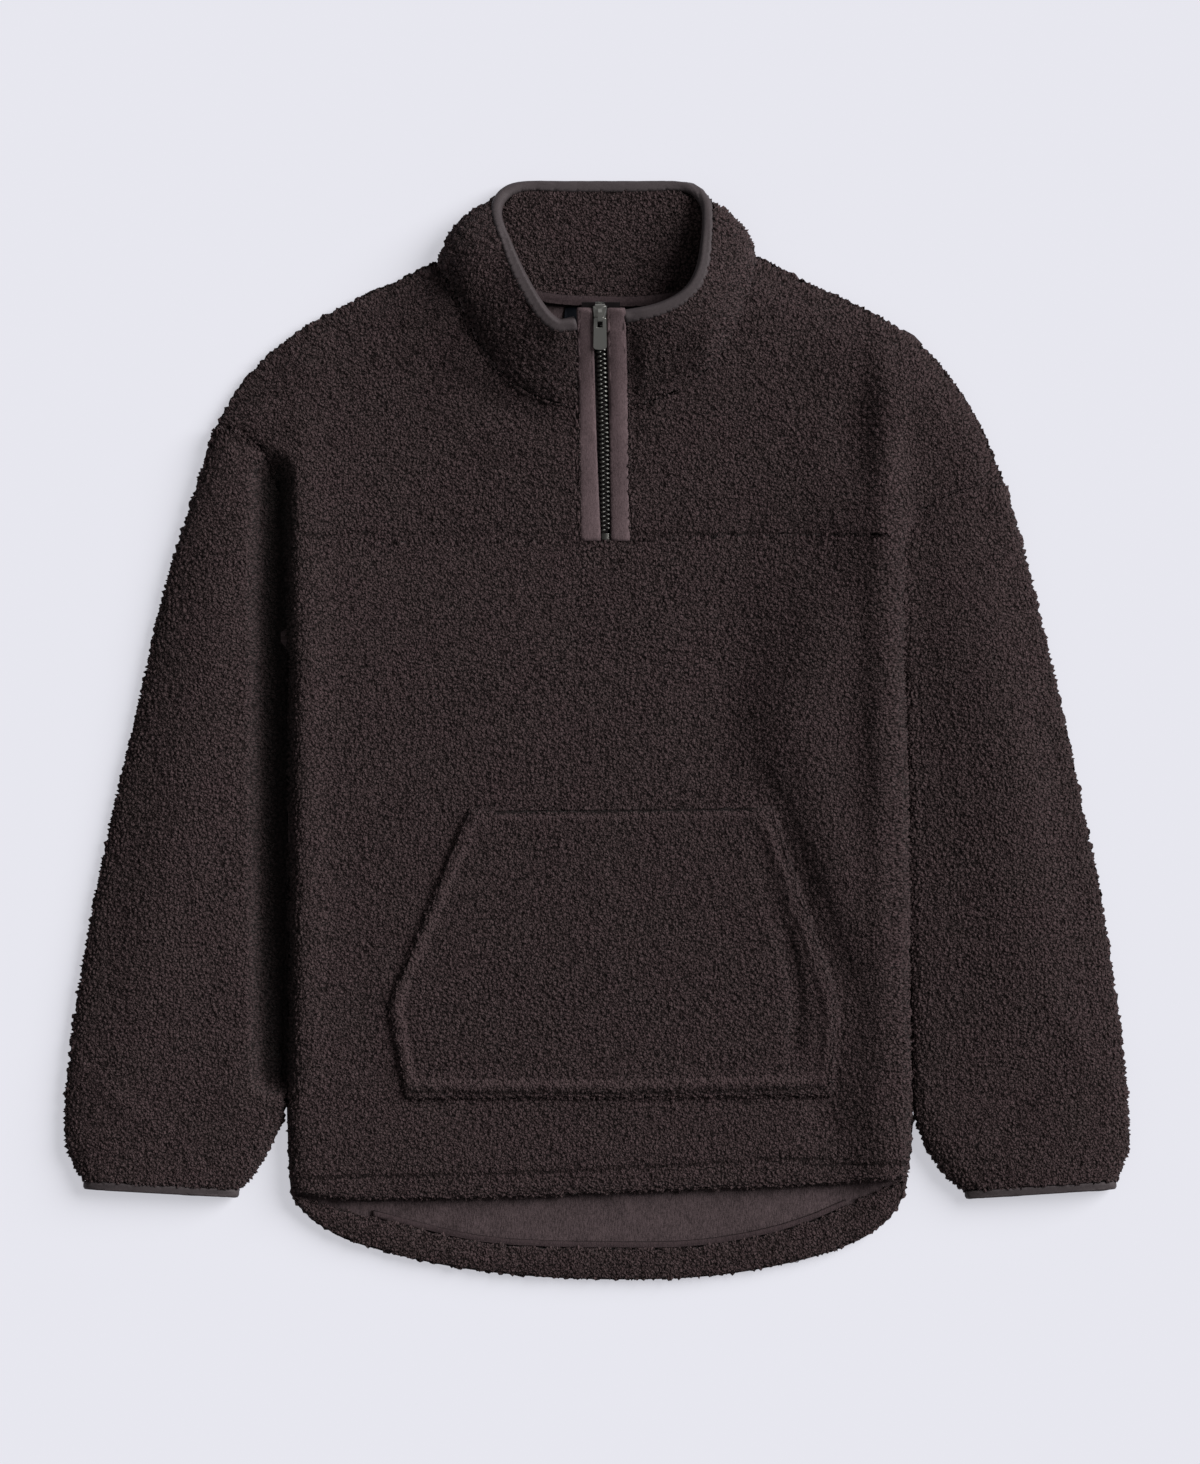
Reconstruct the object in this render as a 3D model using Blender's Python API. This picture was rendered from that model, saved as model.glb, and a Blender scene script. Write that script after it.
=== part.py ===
# Boucle fleece pullover with a quarter zip and a pouch pocket, lying flat on its back.
#
# X runs across the garment, Y from the hem up to the collar and Z up from the surface
# that it lies on. Sizes are in millimetres, and to_metres turns them into the scene's units.
# Every cloth piece is a wall with an outside and an inside, worked out from the same
# outlines, so that pieces meet 0.3 mm apart at their seams.

import bpy
import bmesh
import numpy as np
from mathutils import Vector

MM = 0.001
GARMENT = "boucle_fleece_pullover"

# ---------------------------------------------------------------- driving sizes
BOUCLE = 6.0                # backing and pile together
SEAM_GAP = 0.3
BACK_TOP = BOUCLE           # inside face of the back panel
FRONT_SEAT = BACK_TOP + SEAM_GAP    # lowest level of everything that lies on the back
FRONT_TOP = 13.6            # outside of the front where it lies flat
SLEEVE_TOP = 15.0
SLEEVE_CROWN = 1.6          # a sleeve is a little higher along its middle
FOLD_LEVEL = 6.15           # height of the sleeves' folded edges
EDGE_ROUNDING = 7.0         # rounding under every outer edge
BACK_EDGE_LEVEL = 5.4
LEAST_WALL = 0.02           # wall left between outside and inside at a folded edge
LEAST_SLEEVE_WALL = 0.3
SHOULDER_ROLL = 11.0        # how far from an edge the cloth has rolled up to its full height
SIDE_ROLL = 12.0
SLEEVE_ROLL = 14.0
SEAM_DIP = 1.5
SEAM_DIP_REACH = 4.0
NECK_RISE = 6.0             # the front climbs towards the standing collar
NECK_RISE_REACH = 45.0
SIDE_RIDGE_LEFT = (3.0, 16.0)       # lift of the soft ridge inside a side fold, and its reach
SIDE_RIDGE_RIGHT = (5.0, 15.0)
SLEEVE_GAP = 0.4            # a sleeve lies this far off the line of its armhole
HEM_DEPTH = 24.0
HEM_EXTRA = 1.2
HEM_ROUNDING = 5.0
HEM_ROUNDING_DROP = 4.0
POCKET_THICKNESS = 5.0
POCKET_CLEARANCE = 0.5
POCKET_ROUNDING = 4.0
POCKET_ROUNDING_DROP = 3.0
COLLAR_OUTER = 4.8
COLLAR_INNER = 4.0
COLLAR_BINDING = 7.0        # width of the binding, past the collar's edge
COLLAR_BINDING_ROUNDING = 2.2
FOLD_CLEARANCE = 8.0        # widens the binding's seam gap where the collar folds and thins
CUFF_BINDING = 5.5
CUFF_BINDING_INSET = 1.2
CUFF_BINDING_ROUNDING = 1.2
NECK_TAPE_WIDTH = 7.2
NECK_TAPE_THICKNESS = 2.2
HEM_TAPE_WIDTH = 4.5
HEM_TAPE_THICKNESS = 2.0
HEM_BAND_TOP = 11.0
HEM_BAND_ROUNDING = 2.6
LABEL_SIZE = (74.0, 35.0, 0.8)
LABEL_CENTRE = (14.0, 300.5)

# ---------------------------------------------------------------- outlines, x and y
SHOULDER_LEFT = ((-120, 350), (-146, 338), (-179, 323), (-207, 308), (-231, 293),
                 (-248, 278), (-262, 263), (-273, 248), (-285, 226))
SHOULDER_RIGHT = ((120, 355), (150, 338), (185, 323), (214, 308), (238, 293), (253, 278),
                  (265, 263), (276, 248), (286, 230), (296, 206), (305, 184))
ARMHOLE_LEFT = ((-285, 226), (-267, 223), (-251, 213), (-240, 188), (-234, 137),
                (-231.5, 98), (-231, 53))
ARMHOLE_RIGHT = ((305, 184), (284, 182.5), (258, 173), (240, 161), (230, 147),
                 (228, 110), (228, 53))
SIDE_LEFT = ((-231, 53), (-231, -52), (-231, -202), (-232, -292), (-231, -325), (-229, -344))
SIDE_RIGHT = ((228, 53), (231, -52), (234, -202), (236, -292), (235, -320), (232, -334))
SLEEVE_OUT_LEFT = ((-285, 226), (-294, 203), (-304, 173), (-318, 128), (-330, 83), (-343, 23),
                   (-361, -52), (-377, -127), (-390, -202), (-396, -247), (-399, -284),
                   (-396, -318), (-385, -337))
SLEEVE_OUT_RIGHT = ((305, 184), (315, 158), (323, 128), (334, 83), (348, 23), (364, -52),
                    (379, -127), (390, -202), (396, -247), (399, -284), (398, -320),
                    (390, -337))
SLEEVE_IN_LEFT = ((-231.7, 50), (-231.7, -52), (-231.9, -202), (-232.4, -262), (-234.5, -284),
                  (-237.5, -294), (-243, -307), (-249, -322), (-257, -335), (-267, -343.5))
SLEEVE_IN_RIGHT = ((228.7, 50), (231.8, -52), (235, -202), (236.6, -262), (238, -286), (243, -305),
                   (252, -321), (262, -335), (275, -344.5))
FRONT_HEM = ((-229, -344), (-207, -349), (-147, -351), (-72, -350), (3, -347), (78, -344),
             (153, -341), (205, -337.5), (232, -334))
BACK_HEM = ((-230, -345.5), (-224, -355), (-214, -366), (-200, -375), (-162, -389), (-110, -401),
            (-42, -409), (18, -411), (78, -409), (138, -400), (190, -384), (214, -370),
            (228, -354), (233, -336))
BAND_TOP_EDGE = ((-226.5, -348.3), (-209, -353), (-191, -358), (-152, -368), (-123, -375.5),
                 (-87, -383), (-42, -386.5), (18, -387.5), (63, -387), (102, -382.5),
                 (140, -374), (171, -363), (201, -349), (216, -341.5), (229.5, -336.5))
YOKE_SEAM = ((-234, 137), (-110, 142), (3, 142), (78, 145), (230, 147))
NECK_BACK = ((-120, 350), (-103, 345.5), (-72, 334.5), (-39, 324.7), (3, 321.8), (44, 322.8),
             (78, 330.5), (104, 344.5), (120, 355))
NECK_FRONT_LEFT = ((-13, 240.8), (-35.3, 245.8), (-61.6, 257.6), (-84.2, 282.2), (-97.2, 304.5),
                   (-105.2, 324.3), (-115.6, 339.7), (-120, 350))
NECK_FRONT_RIGHT = ((23.4, 240.8), (51.2, 249.4), (76.8, 263.8), (95, 285.4), (106.1, 306.8),
                    (112.1, 325.3), (118, 341), (120, 355))
POCKET_LEFT = ((-144, -276), (-156, -204), (-96, -58))
POCKET_RIGHT = ((177, -274), (181, -200), (132, -56))
POCKET_CORNER = 0.32        # share of the pocket's side below its corner

# Valleys where a sleeve meets the body: y where the dip starts, is full, and where the
# sleeve's own fold begins below the underarm.
VALLEY_LEFT = {"start": 218, "full": 150, "underarm": 62, "closed": 44}
VALLEY_RIGHT = {"start": 178, "full": 120, "underarm": 62, "closed": 44}

# Soft ridges and troughs of the laid cloth.
# columns: x, y, length, width, turn in degrees from +X, lift
FOLDS = (
    (192, 40, 130, 42, 90, 4.5),
    (168, 190, 70, 40, 80, 2.0),
    (118, 90, 120, 30, 88, -1.0),
    (-150, -120, 150, 60, 92, 0.8),
    (-60, 190, 80, 30, 40, 0.7),
    (215, 262, 60, 22, -42, 2.4),
    (180, 232, 60, 20, -40, -1.0),
    (-205, 262, 70, 25, 42, 1.2),
    (0, -318, 190, 18, 1, 0.6),
)
# columns: as above
SLEEVE_FOLDS = (
    (-272, 205, 26, 12, 60, 1.6),
    (-254, 196, 30, 12, 65, -1.6),
    (-300, 60, 150, 26, 78, 1.0),
    (-330, -180, 160, 30, 80, 0.9),
    (-318, -300, 50, 14, 18, -0.9),
    (-350, -262, 60, 15, 30, 0.8),
    (290, 40, 150, 28, 100, 1.2),
    (330, -150, 170, 30, 98, 0.9),
    (340, -296, 48, 12, 150, -1.0),
    (322, -320, 40, 12, 160, 0.9),
    (368, -262, 60, 14, 120, -0.8),
)

# columns: seam x, y, z, then mid-height x, y, z, then edge x, y, z, then wall share.
# A row is one upright section of the collar's outside, from centre back to centre front.
COLLAR_LEFT = (
    (3, 323, 0, 3, 366, 0, 3, 404, 0.3, 1.0),
    (-39, 326, 0, -39, 367, 0, -31, 404, 0.3, 1.0),
    (-72, 336, 0, -75, 373, 0, -57, 404.2, 1, 1.0),
    (-101, 347, 0.5, -94, 378, 2, -73, 402, 7, 0.7),
    (-118.5, 352.5, 10, -105.5, 379.5, 13, -79, 395.5, 18, 0.5),
    (-115, 341.5, 19, -103.5, 367.5, 26, -79, 383, 28, 0.7),
    (-104, 325.5, 20.8, -95, 347, 33, -73, 366, 37, 1.0),
    (-96, 305.5, 20.4, -86, 323, 35, -65, 346, 42, 1.0),
    (-83, 283.5, 20.2, -71, 299, 36, -55, 326, 45, 1.0),
    (-61, 259.5, 20.0, -51, 278, 34, -43, 307, 46, 1.0),
    (-35, 247.5, 19.8, -31, 267, 31, -29.5, 297, 45.6, 1.0),
    (-13.2, 241.8, 19.6, -13.9, 268, 29.3, -14.6, 299, 44.5, 1.0),
)
COLLAR_RIGHT = (
    (3, 323, 0, 3, 366, 0, 3, 404, 0.3, 1.0),
    (44, 324, 0, 42, 366.5, 0, 39, 404, 0.3, 1.0),
    (78, 332, 0, 75, 371, 0, 64, 404.3, 1, 1.0),
    (102, 347.5, 0.5, 98, 376.5, 2, 80, 402, 7, 0.7),
    (118.5, 356, 10, 109.5, 379, 13, 87, 395, 18, 0.5),
    (117, 343, 19, 108, 367.5, 26, 88, 382, 28, 0.7),
    (111, 326, 20.8, 103, 347, 33, 87, 364, 37, 1.0),
    (105, 307.5, 20.4, 97, 325, 35, 84, 345, 42, 1.0),
    (94, 286.5, 20.2, 87, 304, 36, 76, 328, 45, 1.0),
    (76, 265.2, 20.0, 70, 286, 35, 62, 316, 46, 1.0),
    (51, 250.8, 19.8, 47, 274, 32, 43, 308, 45.8, 1.0),
    (23.6, 241.8, 19.6, 22.6, 270, 29.8, 22.0, 304, 45, 1.0),
)

# columns: y, height of the cloth, then x of the left facing's outer and inner edge, of the
# zip's middle, and of the right facing's inner and outer edge
ZIP = (
    (142.5, 13.6, -11.0, 2.4, 6.7, 11.6, 24.0),
    (180.0, 14.6, -11.7, 0.6, 6.0, 11.1, 23.6),
    (215.0, 17.9, -12.2, -0.8, 5.4, 10.6, 23.3),
    (241.5, 19.6, -12.8, -1.7, 4.8, 10.1, 23.0),
    (269.0, 29.6, -13.3, -2.4, 4.0, 9.3, 22.0),
    (300.0, 44.8, -13.8, -3.2, 2.9, 8.2, 21.0),
    (311.0, 50.0, -13.9, -3.4, 2.6, 7.9, 20.6),
    (322.0, 54.6, -14.0, -3.5, 2.4, 7.8, 20.4),
)
# Levels of the zip's layers, measured from the cloth's outside, along its normal.
FACING_TOP = -0.6
FACING_BOTTOM = -2.8
ZIP_TAPE_TOP = -3.1
ZIP_TAPE_BOTTOM = -4.1
ZIP_TAPE_INSET = 3.0        # the tape's edge lies this far under its facing
CHAIN_MIDDLE = -3.6
CHAIN_HALF_THICKNESS = 2.2
CHAIN_WIDTH = 6.0
FACING_FROM, FACING_TO = 142.9, 311.0
ZIP_TAPE_TO = 317.5
STOP_LENGTH = 5.0

SLIDER_MIDDLE_Y = 310.5
SLIDER_LENGTH = 14.0
SLIDER_WIDTH = 10.6
SLIDER_MOUTH_WIDTH = 8.4
SLIDER_PLATE = 1.2
SLIDER_CORNER = 1.6
SLIDER_POST = (2.6, 4.6)
SLIDER_HALF_HEIGHT = 2.6
BRIDGE_WIDTH = 3.2
BRIDGE_FROM, BRIDGE_TO = -5.9, 3.4
BRIDGE_CLEAR = 2.7
BRIDGE_THICKNESS = 1.2
HINGE_ALONG = -3.9
HINGE_ABOVE_PLATE = 1.35
TAB_LENGTH = 25.5
TAB_WIDTH_TOP = 9.2
TAB_WIDTH_END = 10.0
TAB_THICKNESS = 1.5
TAB_CORNER = 0.7
TAB_END_ROUNDING = 2.4
TAB_WINDOW = (3.9, 6.2)
TAB_BAR = 1.5

COLOURS = {                 # base colour, roughness, metallic
    "boucle": ((0.030, 0.020, 0.021, 1), 0.95, 0.0),
    "knit": ((0.060, 0.044, 0.046, 1), 0.85, 0.0),
    "facing": ((0.088, 0.062, 0.066, 1), 0.8, 0.0),
    "binding": ((0.052, 0.047, 0.050, 1), 0.75, 0.0),
    "zip_tape": ((0.030, 0.024, 0.026, 1), 0.8, 0.0),
    "zip_metal": ((0.10, 0.10, 0.10, 1), 0.4, 1.0),
    "pull_metal": ((0.42, 0.41, 0.40, 1), 0.35, 1.0),
    "label": ((0.008, 0.009, 0.012, 1), 0.6, 0.0),
}


# ---------------------------------------------------------------- curves and fields
def hermite(t, start, start_slope, end, end_slope):
    """A cubic stretch between two points with the given slopes, read at t from 0 to 1."""
    return ((2 * t**3 - 3 * t**2 + 1) * start + (t**3 - 2 * t**2 + t) * start_slope
            + (3 * t**2 - 2 * t**3) * end + (t**3 - t**2) * end_slope)


def smooth_through(points, steps=10):
    """Points on a smooth curve that passes through the given ones."""
    points = np.array(points, dtype=float)
    if len(points) == 2:
        share = np.linspace(0, 1, steps + 1)[:, None]
        return points[0] + (points[1] - points[0]) * share
    gaps = np.linalg.norm(np.diff(points, axis=0), axis=1)
    slopes = np.diff(points, axis=0) / gaps[:, None]
    before, after = gaps[:-1, None], gaps[1:, None]
    inner = (slopes[:-1] * after + slopes[1:] * before) / (before + after)
    tangents = np.vstack((slopes[:1], inner, slopes[-1:]))
    curve = []
    for k, gap in enumerate(gaps):
        t = np.linspace(0, 1, steps, endpoint=False)[:, None]
        curve.append(hermite(t, points[k], gap * tangents[k], points[k + 1], gap * tangents[k + 1]))
    return np.vstack(curve + [points[-1:]])


class Route:
    """A curve in the plan, read by its share of length from start to end."""

    def __init__(self, *stretches):
        parts = [smooth_through(stretch) for stretch in stretches]
        for k in range(1, len(parts)):
            parts[k] = parts[k][1:]
        self.points = np.vstack(parts)
        lengths = np.linalg.norm(np.diff(self.points, axis=0), axis=1)
        self.along = np.concatenate(([0.0], np.cumsum(lengths)))
        self.length = self.along[-1]

    def at(self, shares):
        along = np.asarray(shares) * self.length
        return np.stack([np.interp(along, self.along, axis) for axis in self.points.T], axis=-1)


def nearest(points, *routes):
    """Distance of each point to the nearest of the routes, and the way from there to it.

    A point on a route looks towards the middle of all the points."""
    centre = points.mean(axis=0)
    best = np.full(len(points), np.inf)
    way = np.zeros((len(points), 2))
    for route in routes:
        start, step = route.points[:-1, :2], np.diff(route.points[:, :2], axis=0)
        offset = points[:, None, :2] - start[None]
        share = np.clip((offset * step).sum(-1) / (step * step).sum(-1), 0, 1)
        gap = offset - share[..., None] * step
        distance = np.linalg.norm(gap, axis=-1)
        pick = distance.argmin(1)
        rows = np.arange(len(points))
        closer = distance[rows, pick] < best
        best = np.where(closer, distance[rows, pick], best)
        way = np.where(closer[:, None], gap[rows, pick], way)
        on_line = closer & (distance[rows, pick] < 1e-6)
        side = np.stack((-step[pick, 1], step[pick, 0]), axis=-1)
        side = side * np.sign((side * (centre - points)).sum(-1))[:, None]
        way = np.where(on_line[:, None], side, way)
    length = np.linalg.norm(way, axis=1)[:, None]
    return best, way / np.maximum(length, 1e-9)


def rounded(distance, reach):
    """Share of full height at a distance from an edge that rolls up over the given reach."""
    share = np.clip(distance / reach, 0, 1)
    return np.sqrt(1 - (1 - share) ** 2)


def ease(value, start, end):
    share = np.clip((value - start) / (end - start), 0, 1)
    return share * share * (3 - 2 * share)


def relief(points, folds):
    """Height that the table's ridges and troughs add at each point."""
    total = np.zeros(len(points))
    for x, y, length, width, turn, lift in folds:
        angle = np.radians(turn)
        across = points[:, 0] - x, points[:, 1] - y
        along = across[0] * np.cos(angle) + across[1] * np.sin(angle)
        beside = across[1] * np.cos(angle) - across[0] * np.sin(angle)
        total += lift * np.exp(-(along / length) ** 2 - (beside / width) ** 2)
    return total


def cross_stations(rows, start_reach, end_reach, middle):
    """Shares across a panel, closer together where its two edges roll."""
    quarter = 1 - np.cos(np.radians((0, 32, 62, 90)))
    start = quarter * start_reach / rows
    end = 1 - quarter[::-1] * end_reach / rows
    return np.concatenate((start, np.linspace(start[-1], end[0], middle + 2)[1:-1], end))


def patch(bottom, top, left, right, across, up):
    """Plan points of a panel between four edges, which are read at the same shares."""
    across, up = across[None, :, None], up[:, None, None]
    corners = ((1 - across) * (1 - up) * bottom[0] + across * (1 - up) * bottom[-1]
               + (1 - across) * up * top[0] + across * up * top[-1])
    return ((1 - up) * bottom[None] + up * top[None]
            + (1 - across) * left[:, None] + across * right[:, None] - corners)


# ---------------------------------------------------------------- seam and fold lines
armhole_left, armhole_right = Route(ARMHOLE_LEFT), Route(ARMHOLE_RIGHT)
side_left, side_right = Route(SIDE_LEFT), Route(SIDE_RIGHT)
shoulder_left, shoulder_right = Route(SHOULDER_LEFT), Route(SHOULDER_RIGHT)
sleeve_out_left, sleeve_out_right = Route(SLEEVE_OUT_LEFT), Route(SLEEVE_OUT_RIGHT)
front_hem, back_hem, yoke_seam = Route(FRONT_HEM), Route(BACK_HEM), Route(YOKE_SEAM)
neck_front_left, neck_front_right = Route(NECK_FRONT_LEFT), Route(NECK_FRONT_RIGHT)
outer_left = Route(SHOULDER_LEFT, SLEEVE_OUT_LEFT)
outer_right = Route(SHOULDER_RIGHT, SLEEVE_OUT_RIGHT)
valley_left, valley_right = Route(ARMHOLE_LEFT, SIDE_LEFT), Route(ARMHOLE_RIGHT, SIDE_RIGHT)


def valley_level(points, height, valley, closed_level):
    """Level of the cloth's outside on a valley line: full height, then low, then folded."""
    y = points[:, 1]
    depth = ease(y, valley["start"], valley["full"])
    level = (height - SEAM_DIP) * (1 - depth) + (FRONT_SEAT + BOUCLE) * depth
    fold = ease(y, valley["underarm"], valley["closed"])
    return level * (1 - fold) + closed_level * fold


def side_ridge(points, valley_line, valley, lift, reach):
    """The body's cloth stands up in a soft ridge along its side."""
    distance, _ = nearest(points, valley_line)
    ridge = distance / reach * np.exp(1 - distance / reach)
    return lift * ridge * ease(points[:, 1], valley["start"], valley["full"])


def body_height(points):
    """Level of the front's outside, before its edges roll down."""
    neck, _ = nearest(points, neck_front_left, neck_front_right)
    return (FRONT_TOP + relief(points, FOLDS)
            + NECK_RISE * np.exp(-(neck / NECK_RISE_REACH) ** 2)
            + side_ridge(points, valley_left, VALLEY_LEFT, *SIDE_RIDGE_LEFT)
            + side_ridge(points, valley_right, VALLEY_RIGHT, *SIDE_RIDGE_RIGHT))


def rolled_wall(points, height, level_at_fold, edges):
    """Outside and inside of a wall whose edges roll down.

    Each edge gives the distance to it, the way inwards, its reach and its level. An edge at
    the fold level has a flat rim that faces down; one a wall higher has an upright rim."""
    outside = height.copy()
    inside = np.maximum(height - BOUCLE, level_at_fold)
    shift = np.zeros((len(points), 2))
    for distance, way, reach, level in edges:
        share = rounded(distance, reach)
        inner_level = np.maximum(level - BOUCLE, level_at_fold)
        upright = np.clip((level - inner_level) / BOUCLE, 0, 1)
        outside -= np.maximum(outside - level, 0) * (1 - share)
        inside -= np.maximum(inside - inner_level, 0) * (1 - share)
        flat = BOUCLE * np.sqrt(1 - upright ** 2)
        shift += (flat * (1 - np.clip(distance / reach, 0, 1)))[:, None] * way
    inside = np.minimum(inside, outside - LEAST_WALL)
    return (np.column_stack((points, outside)),
            np.column_stack((points + shift, np.maximum(inside, level_at_fold))))


# ---------------------------------------------------------------- solids
def to_metres(point):
    return Vector(point) * MM


def material(name):
    found = bpy.data.materials.get(name)
    if found:
        return found
    colour, roughness, metallic = COLOURS[name]
    made = bpy.data.materials.new(name)
    made.use_nodes = True
    shader = made.node_tree.nodes["Principled BSDF"]
    shader.inputs["Base Color"].default_value = colour
    shader.inputs["Roughness"].default_value = roughness
    shader.inputs["Metallic"].default_value = metallic
    return made


def add_object(name, mesh, finish, smooth=True):
    mesh.materials.append(material(finish))
    if smooth:
        mesh.shade_smooth()
        mesh.set_sharp_from_angle(angle=np.radians(50))
    made = bpy.data.objects.new(name, mesh)
    garment.objects.link(made)
    return made


def wall_solid(name, outside, inside, faces, finish):
    """A closed wall between an outside and an inside that share their faces' layout."""
    count = len(outside)
    edges = {(face[k], face[k - 1]) for face in faces for k in range(3)}
    rims = sorted((a, b, b + count, a + count) for a, b in edges if (b, a) not in edges)
    under = [tuple(number + count for number in reversed(face)) for face in faces]
    bm = bmesh.new()
    verts = [bm.verts.new(to_metres(point)) for point in (*outside, *inside)]
    for face in (*faces, *under, *rims):
        bm.faces.new([verts[index] for index in face])
    bmesh.ops.delete(bm, geom=[vert for vert in bm.verts if not vert.link_faces], context="VERTS")
    bmesh.ops.recalc_face_normals(bm, faces=bm.faces[:])
    mesh = bpy.data.meshes.new(name)
    bm.to_mesh(mesh)
    bm.free()
    return add_object(name, mesh, finish)


def grid_faces(index):
    """Triangles of a grid of point numbers, all split the same way, so that two walls
    made from one grid stay the same distance apart."""
    faces = []
    for low, high in zip(index[:-1], index[1:]):
        for k in range(len(low) - 1):
            a, b, c, d = (int(number) for number in (low[k], low[k + 1], high[k + 1], high[k]))
            faces.extend(((a, b, c), (a, c, d)))
    return faces


def panel(name, plan, outside_inside, finish="boucle"):
    """A cloth panel from a grid of plan points and the function that gives its two faces."""
    index = np.arange(plan[..., 0].size).reshape(plan.shape[:2])
    outside, inside = outside_inside(plan.reshape(-1, 2))
    return wall_solid(name, outside, inside, grid_faces(index), finish)


def strip(name, lower, upper, floor, top, count, rounding, finish):
    """A band lying between two routes, with its long edges rounded over."""
    stations = np.linspace(0, 1, count)
    across = np.array((0.0, 0.12, 0.5, 0.88, 1.0))
    drop = np.array((rounding, 0.25 * rounding, 0.0, 0.25 * rounding, rounding))
    low, high = lower.at(stations)[:, None], upper.at(stations)[:, None]
    plan = low + (high - low) * across[None, :, None]
    level = np.tile(top - drop, len(stations))
    flat = plan.reshape(-1, 2)
    index = np.arange(len(flat)).reshape(len(stations), len(across))
    return wall_solid(name, np.column_stack((flat, level)),
                      np.column_stack((flat, np.full(len(flat), floor))), grid_faces(index), finish)


# ---------------------------------------------------------------- back and front
def back_faces(points):
    """The back lies flat, with its outside down."""
    edge, _ = nearest(points, shoulder_left, shoulder_right, side_left, side_right, back_hem)
    under = BACK_EDGE_LEVEL * (1 - rounded(edge, EDGE_ROUNDING))
    top = np.full(len(points), BACK_TOP)
    return np.column_stack((points, under)), np.column_stack((points, top))


def front_faces(points):
    """Front below the yoke, with its hem turned up inside."""
    left, way_left = nearest(points, valley_left)
    right, way_right = nearest(points, valley_right)
    height = body_height(points)
    edges = ((left, way_left, SIDE_ROLL, valley_level(points, height, VALLEY_LEFT, FRONT_SEAT)),
             (right, way_right, SIDE_ROLL, valley_level(points, height, VALLEY_RIGHT, FRONT_SEAT)))
    outside, inside = rolled_wall(points, height, FRONT_SEAT, edges)
    hem, _ = nearest(points, front_hem)
    side_share = rounded(np.minimum(left, right), SIDE_ROLL)
    doubled = 1 - ease(hem, HEM_DEPTH - 1, HEM_DEPTH + 3)
    outside[:, 2] += HEM_EXTRA * doubled * side_share
    outside[:, 2] -= HEM_ROUNDING_DROP * (1 - rounded(hem, HEM_ROUNDING)) * side_share
    inside[:, 2] -= (inside[:, 2] - FRONT_SEAT) * doubled
    seam, _ = nearest(points, yoke_seam)
    outside[:, 2] -= SEAM_DIP * (1 - rounded(seam, SEAM_DIP_REACH)) * side_share
    return outside, inside


def yoke_faces(points, outer, valley_line, valley):
    """A yoke rolls down at the shoulder and at the armhole, and dips into its seam."""
    shoulder, way_shoulder = nearest(points, outer)
    armhole, way_armhole = nearest(points, valley_line)
    height = body_height(points)
    edges = ((shoulder, way_shoulder, SHOULDER_ROLL, np.full(len(points), FRONT_SEAT)),
             (armhole, way_armhole, SIDE_ROLL, valley_level(points, height, valley, FRONT_SEAT)))
    outside, inside = rolled_wall(points, height, FRONT_SEAT, edges)
    seam, _ = nearest(points, yoke_seam)
    outside[:, 2] -= SEAM_DIP * (1 - rounded(seam, SEAM_DIP_REACH))
    return outside, inside


def seam_point_share(armhole):
    """Share of the armhole, from the shoulder, at which the yoke seam meets it."""
    corner = np.array(YOKE_SEAM[0] if armhole is armhole_left else YOKE_SEAM[-1], dtype=float)
    gap = np.linalg.norm(armhole.points - corner, axis=1)
    return armhole.along[gap.argmin()] / armhole.length


def armhole_stations(armhole):
    """Shares of the armhole shared by the yoke, the front, the back and the sleeve."""
    seam = seam_point_share(armhole)
    above = np.linspace(0, seam, 9)
    return above, np.linspace(seam, 1, 4)


def build_back():
    sides = []
    for armhole, side in ((armhole_left, side_left), (armhole_right, side_right)):
        above, below = armhole_stations(armhole)
        down = side.at(cross_stations(side.length, 1.0, 8.0, 6))
        up_armhole = armhole.at(np.concatenate((above, below[1:])))[::-1]
        sides.append(np.vstack((down[::-1][:-1], up_armhole)))
    left, right = sides
    left[0], right[0] = BACK_HEM[0], BACK_HEM[-1]
    across = cross_stations(back_hem.length, 8.0, 8.0, 12)
    up = np.linspace(0, 1, len(left))
    top_edge = Route(SHOULDER_LEFT[::-1], NECK_BACK, SHOULDER_RIGHT)
    neck_start = shoulder_left.length / top_edge.length
    neck_end = 1 - shoulder_right.length / top_edge.length
    on_shoulder, on_neck = 6, 8
    top = top_edge.at(np.concatenate((
        np.linspace(0, neck_start, on_shoulder, endpoint=False),
        np.linspace(neck_start, neck_end, on_neck, endpoint=False),
        np.linspace(neck_end, 1, len(across) - on_shoulder - on_neck))))
    return panel("back", patch(back_hem.at(across), top, left, right, across, up), back_faces)


def build_front():
    sides = []
    for armhole, side in ((armhole_left, side_left), (armhole_right, side_right)):
        _, below = armhole_stations(armhole)
        down = side.at(cross_stations(side.length, 8.0, 6.0, 8))
        sides.append(np.vstack((down[::-1][:-1], armhole.at(below)[::-1])))
    left, right = sides
    across = cross_stations(front_hem.length, SIDE_ROLL, SIDE_ROLL, 12)
    up = np.linspace(0, 1, len(left))
    seam = yoke_seam.at(across) - (0, SEAM_GAP / 2)
    left[-1], right[-1] = seam[0], seam[-1]
    return panel("front_body", patch(front_hem.at(across), seam, left, right, across, up), front_faces)


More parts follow.
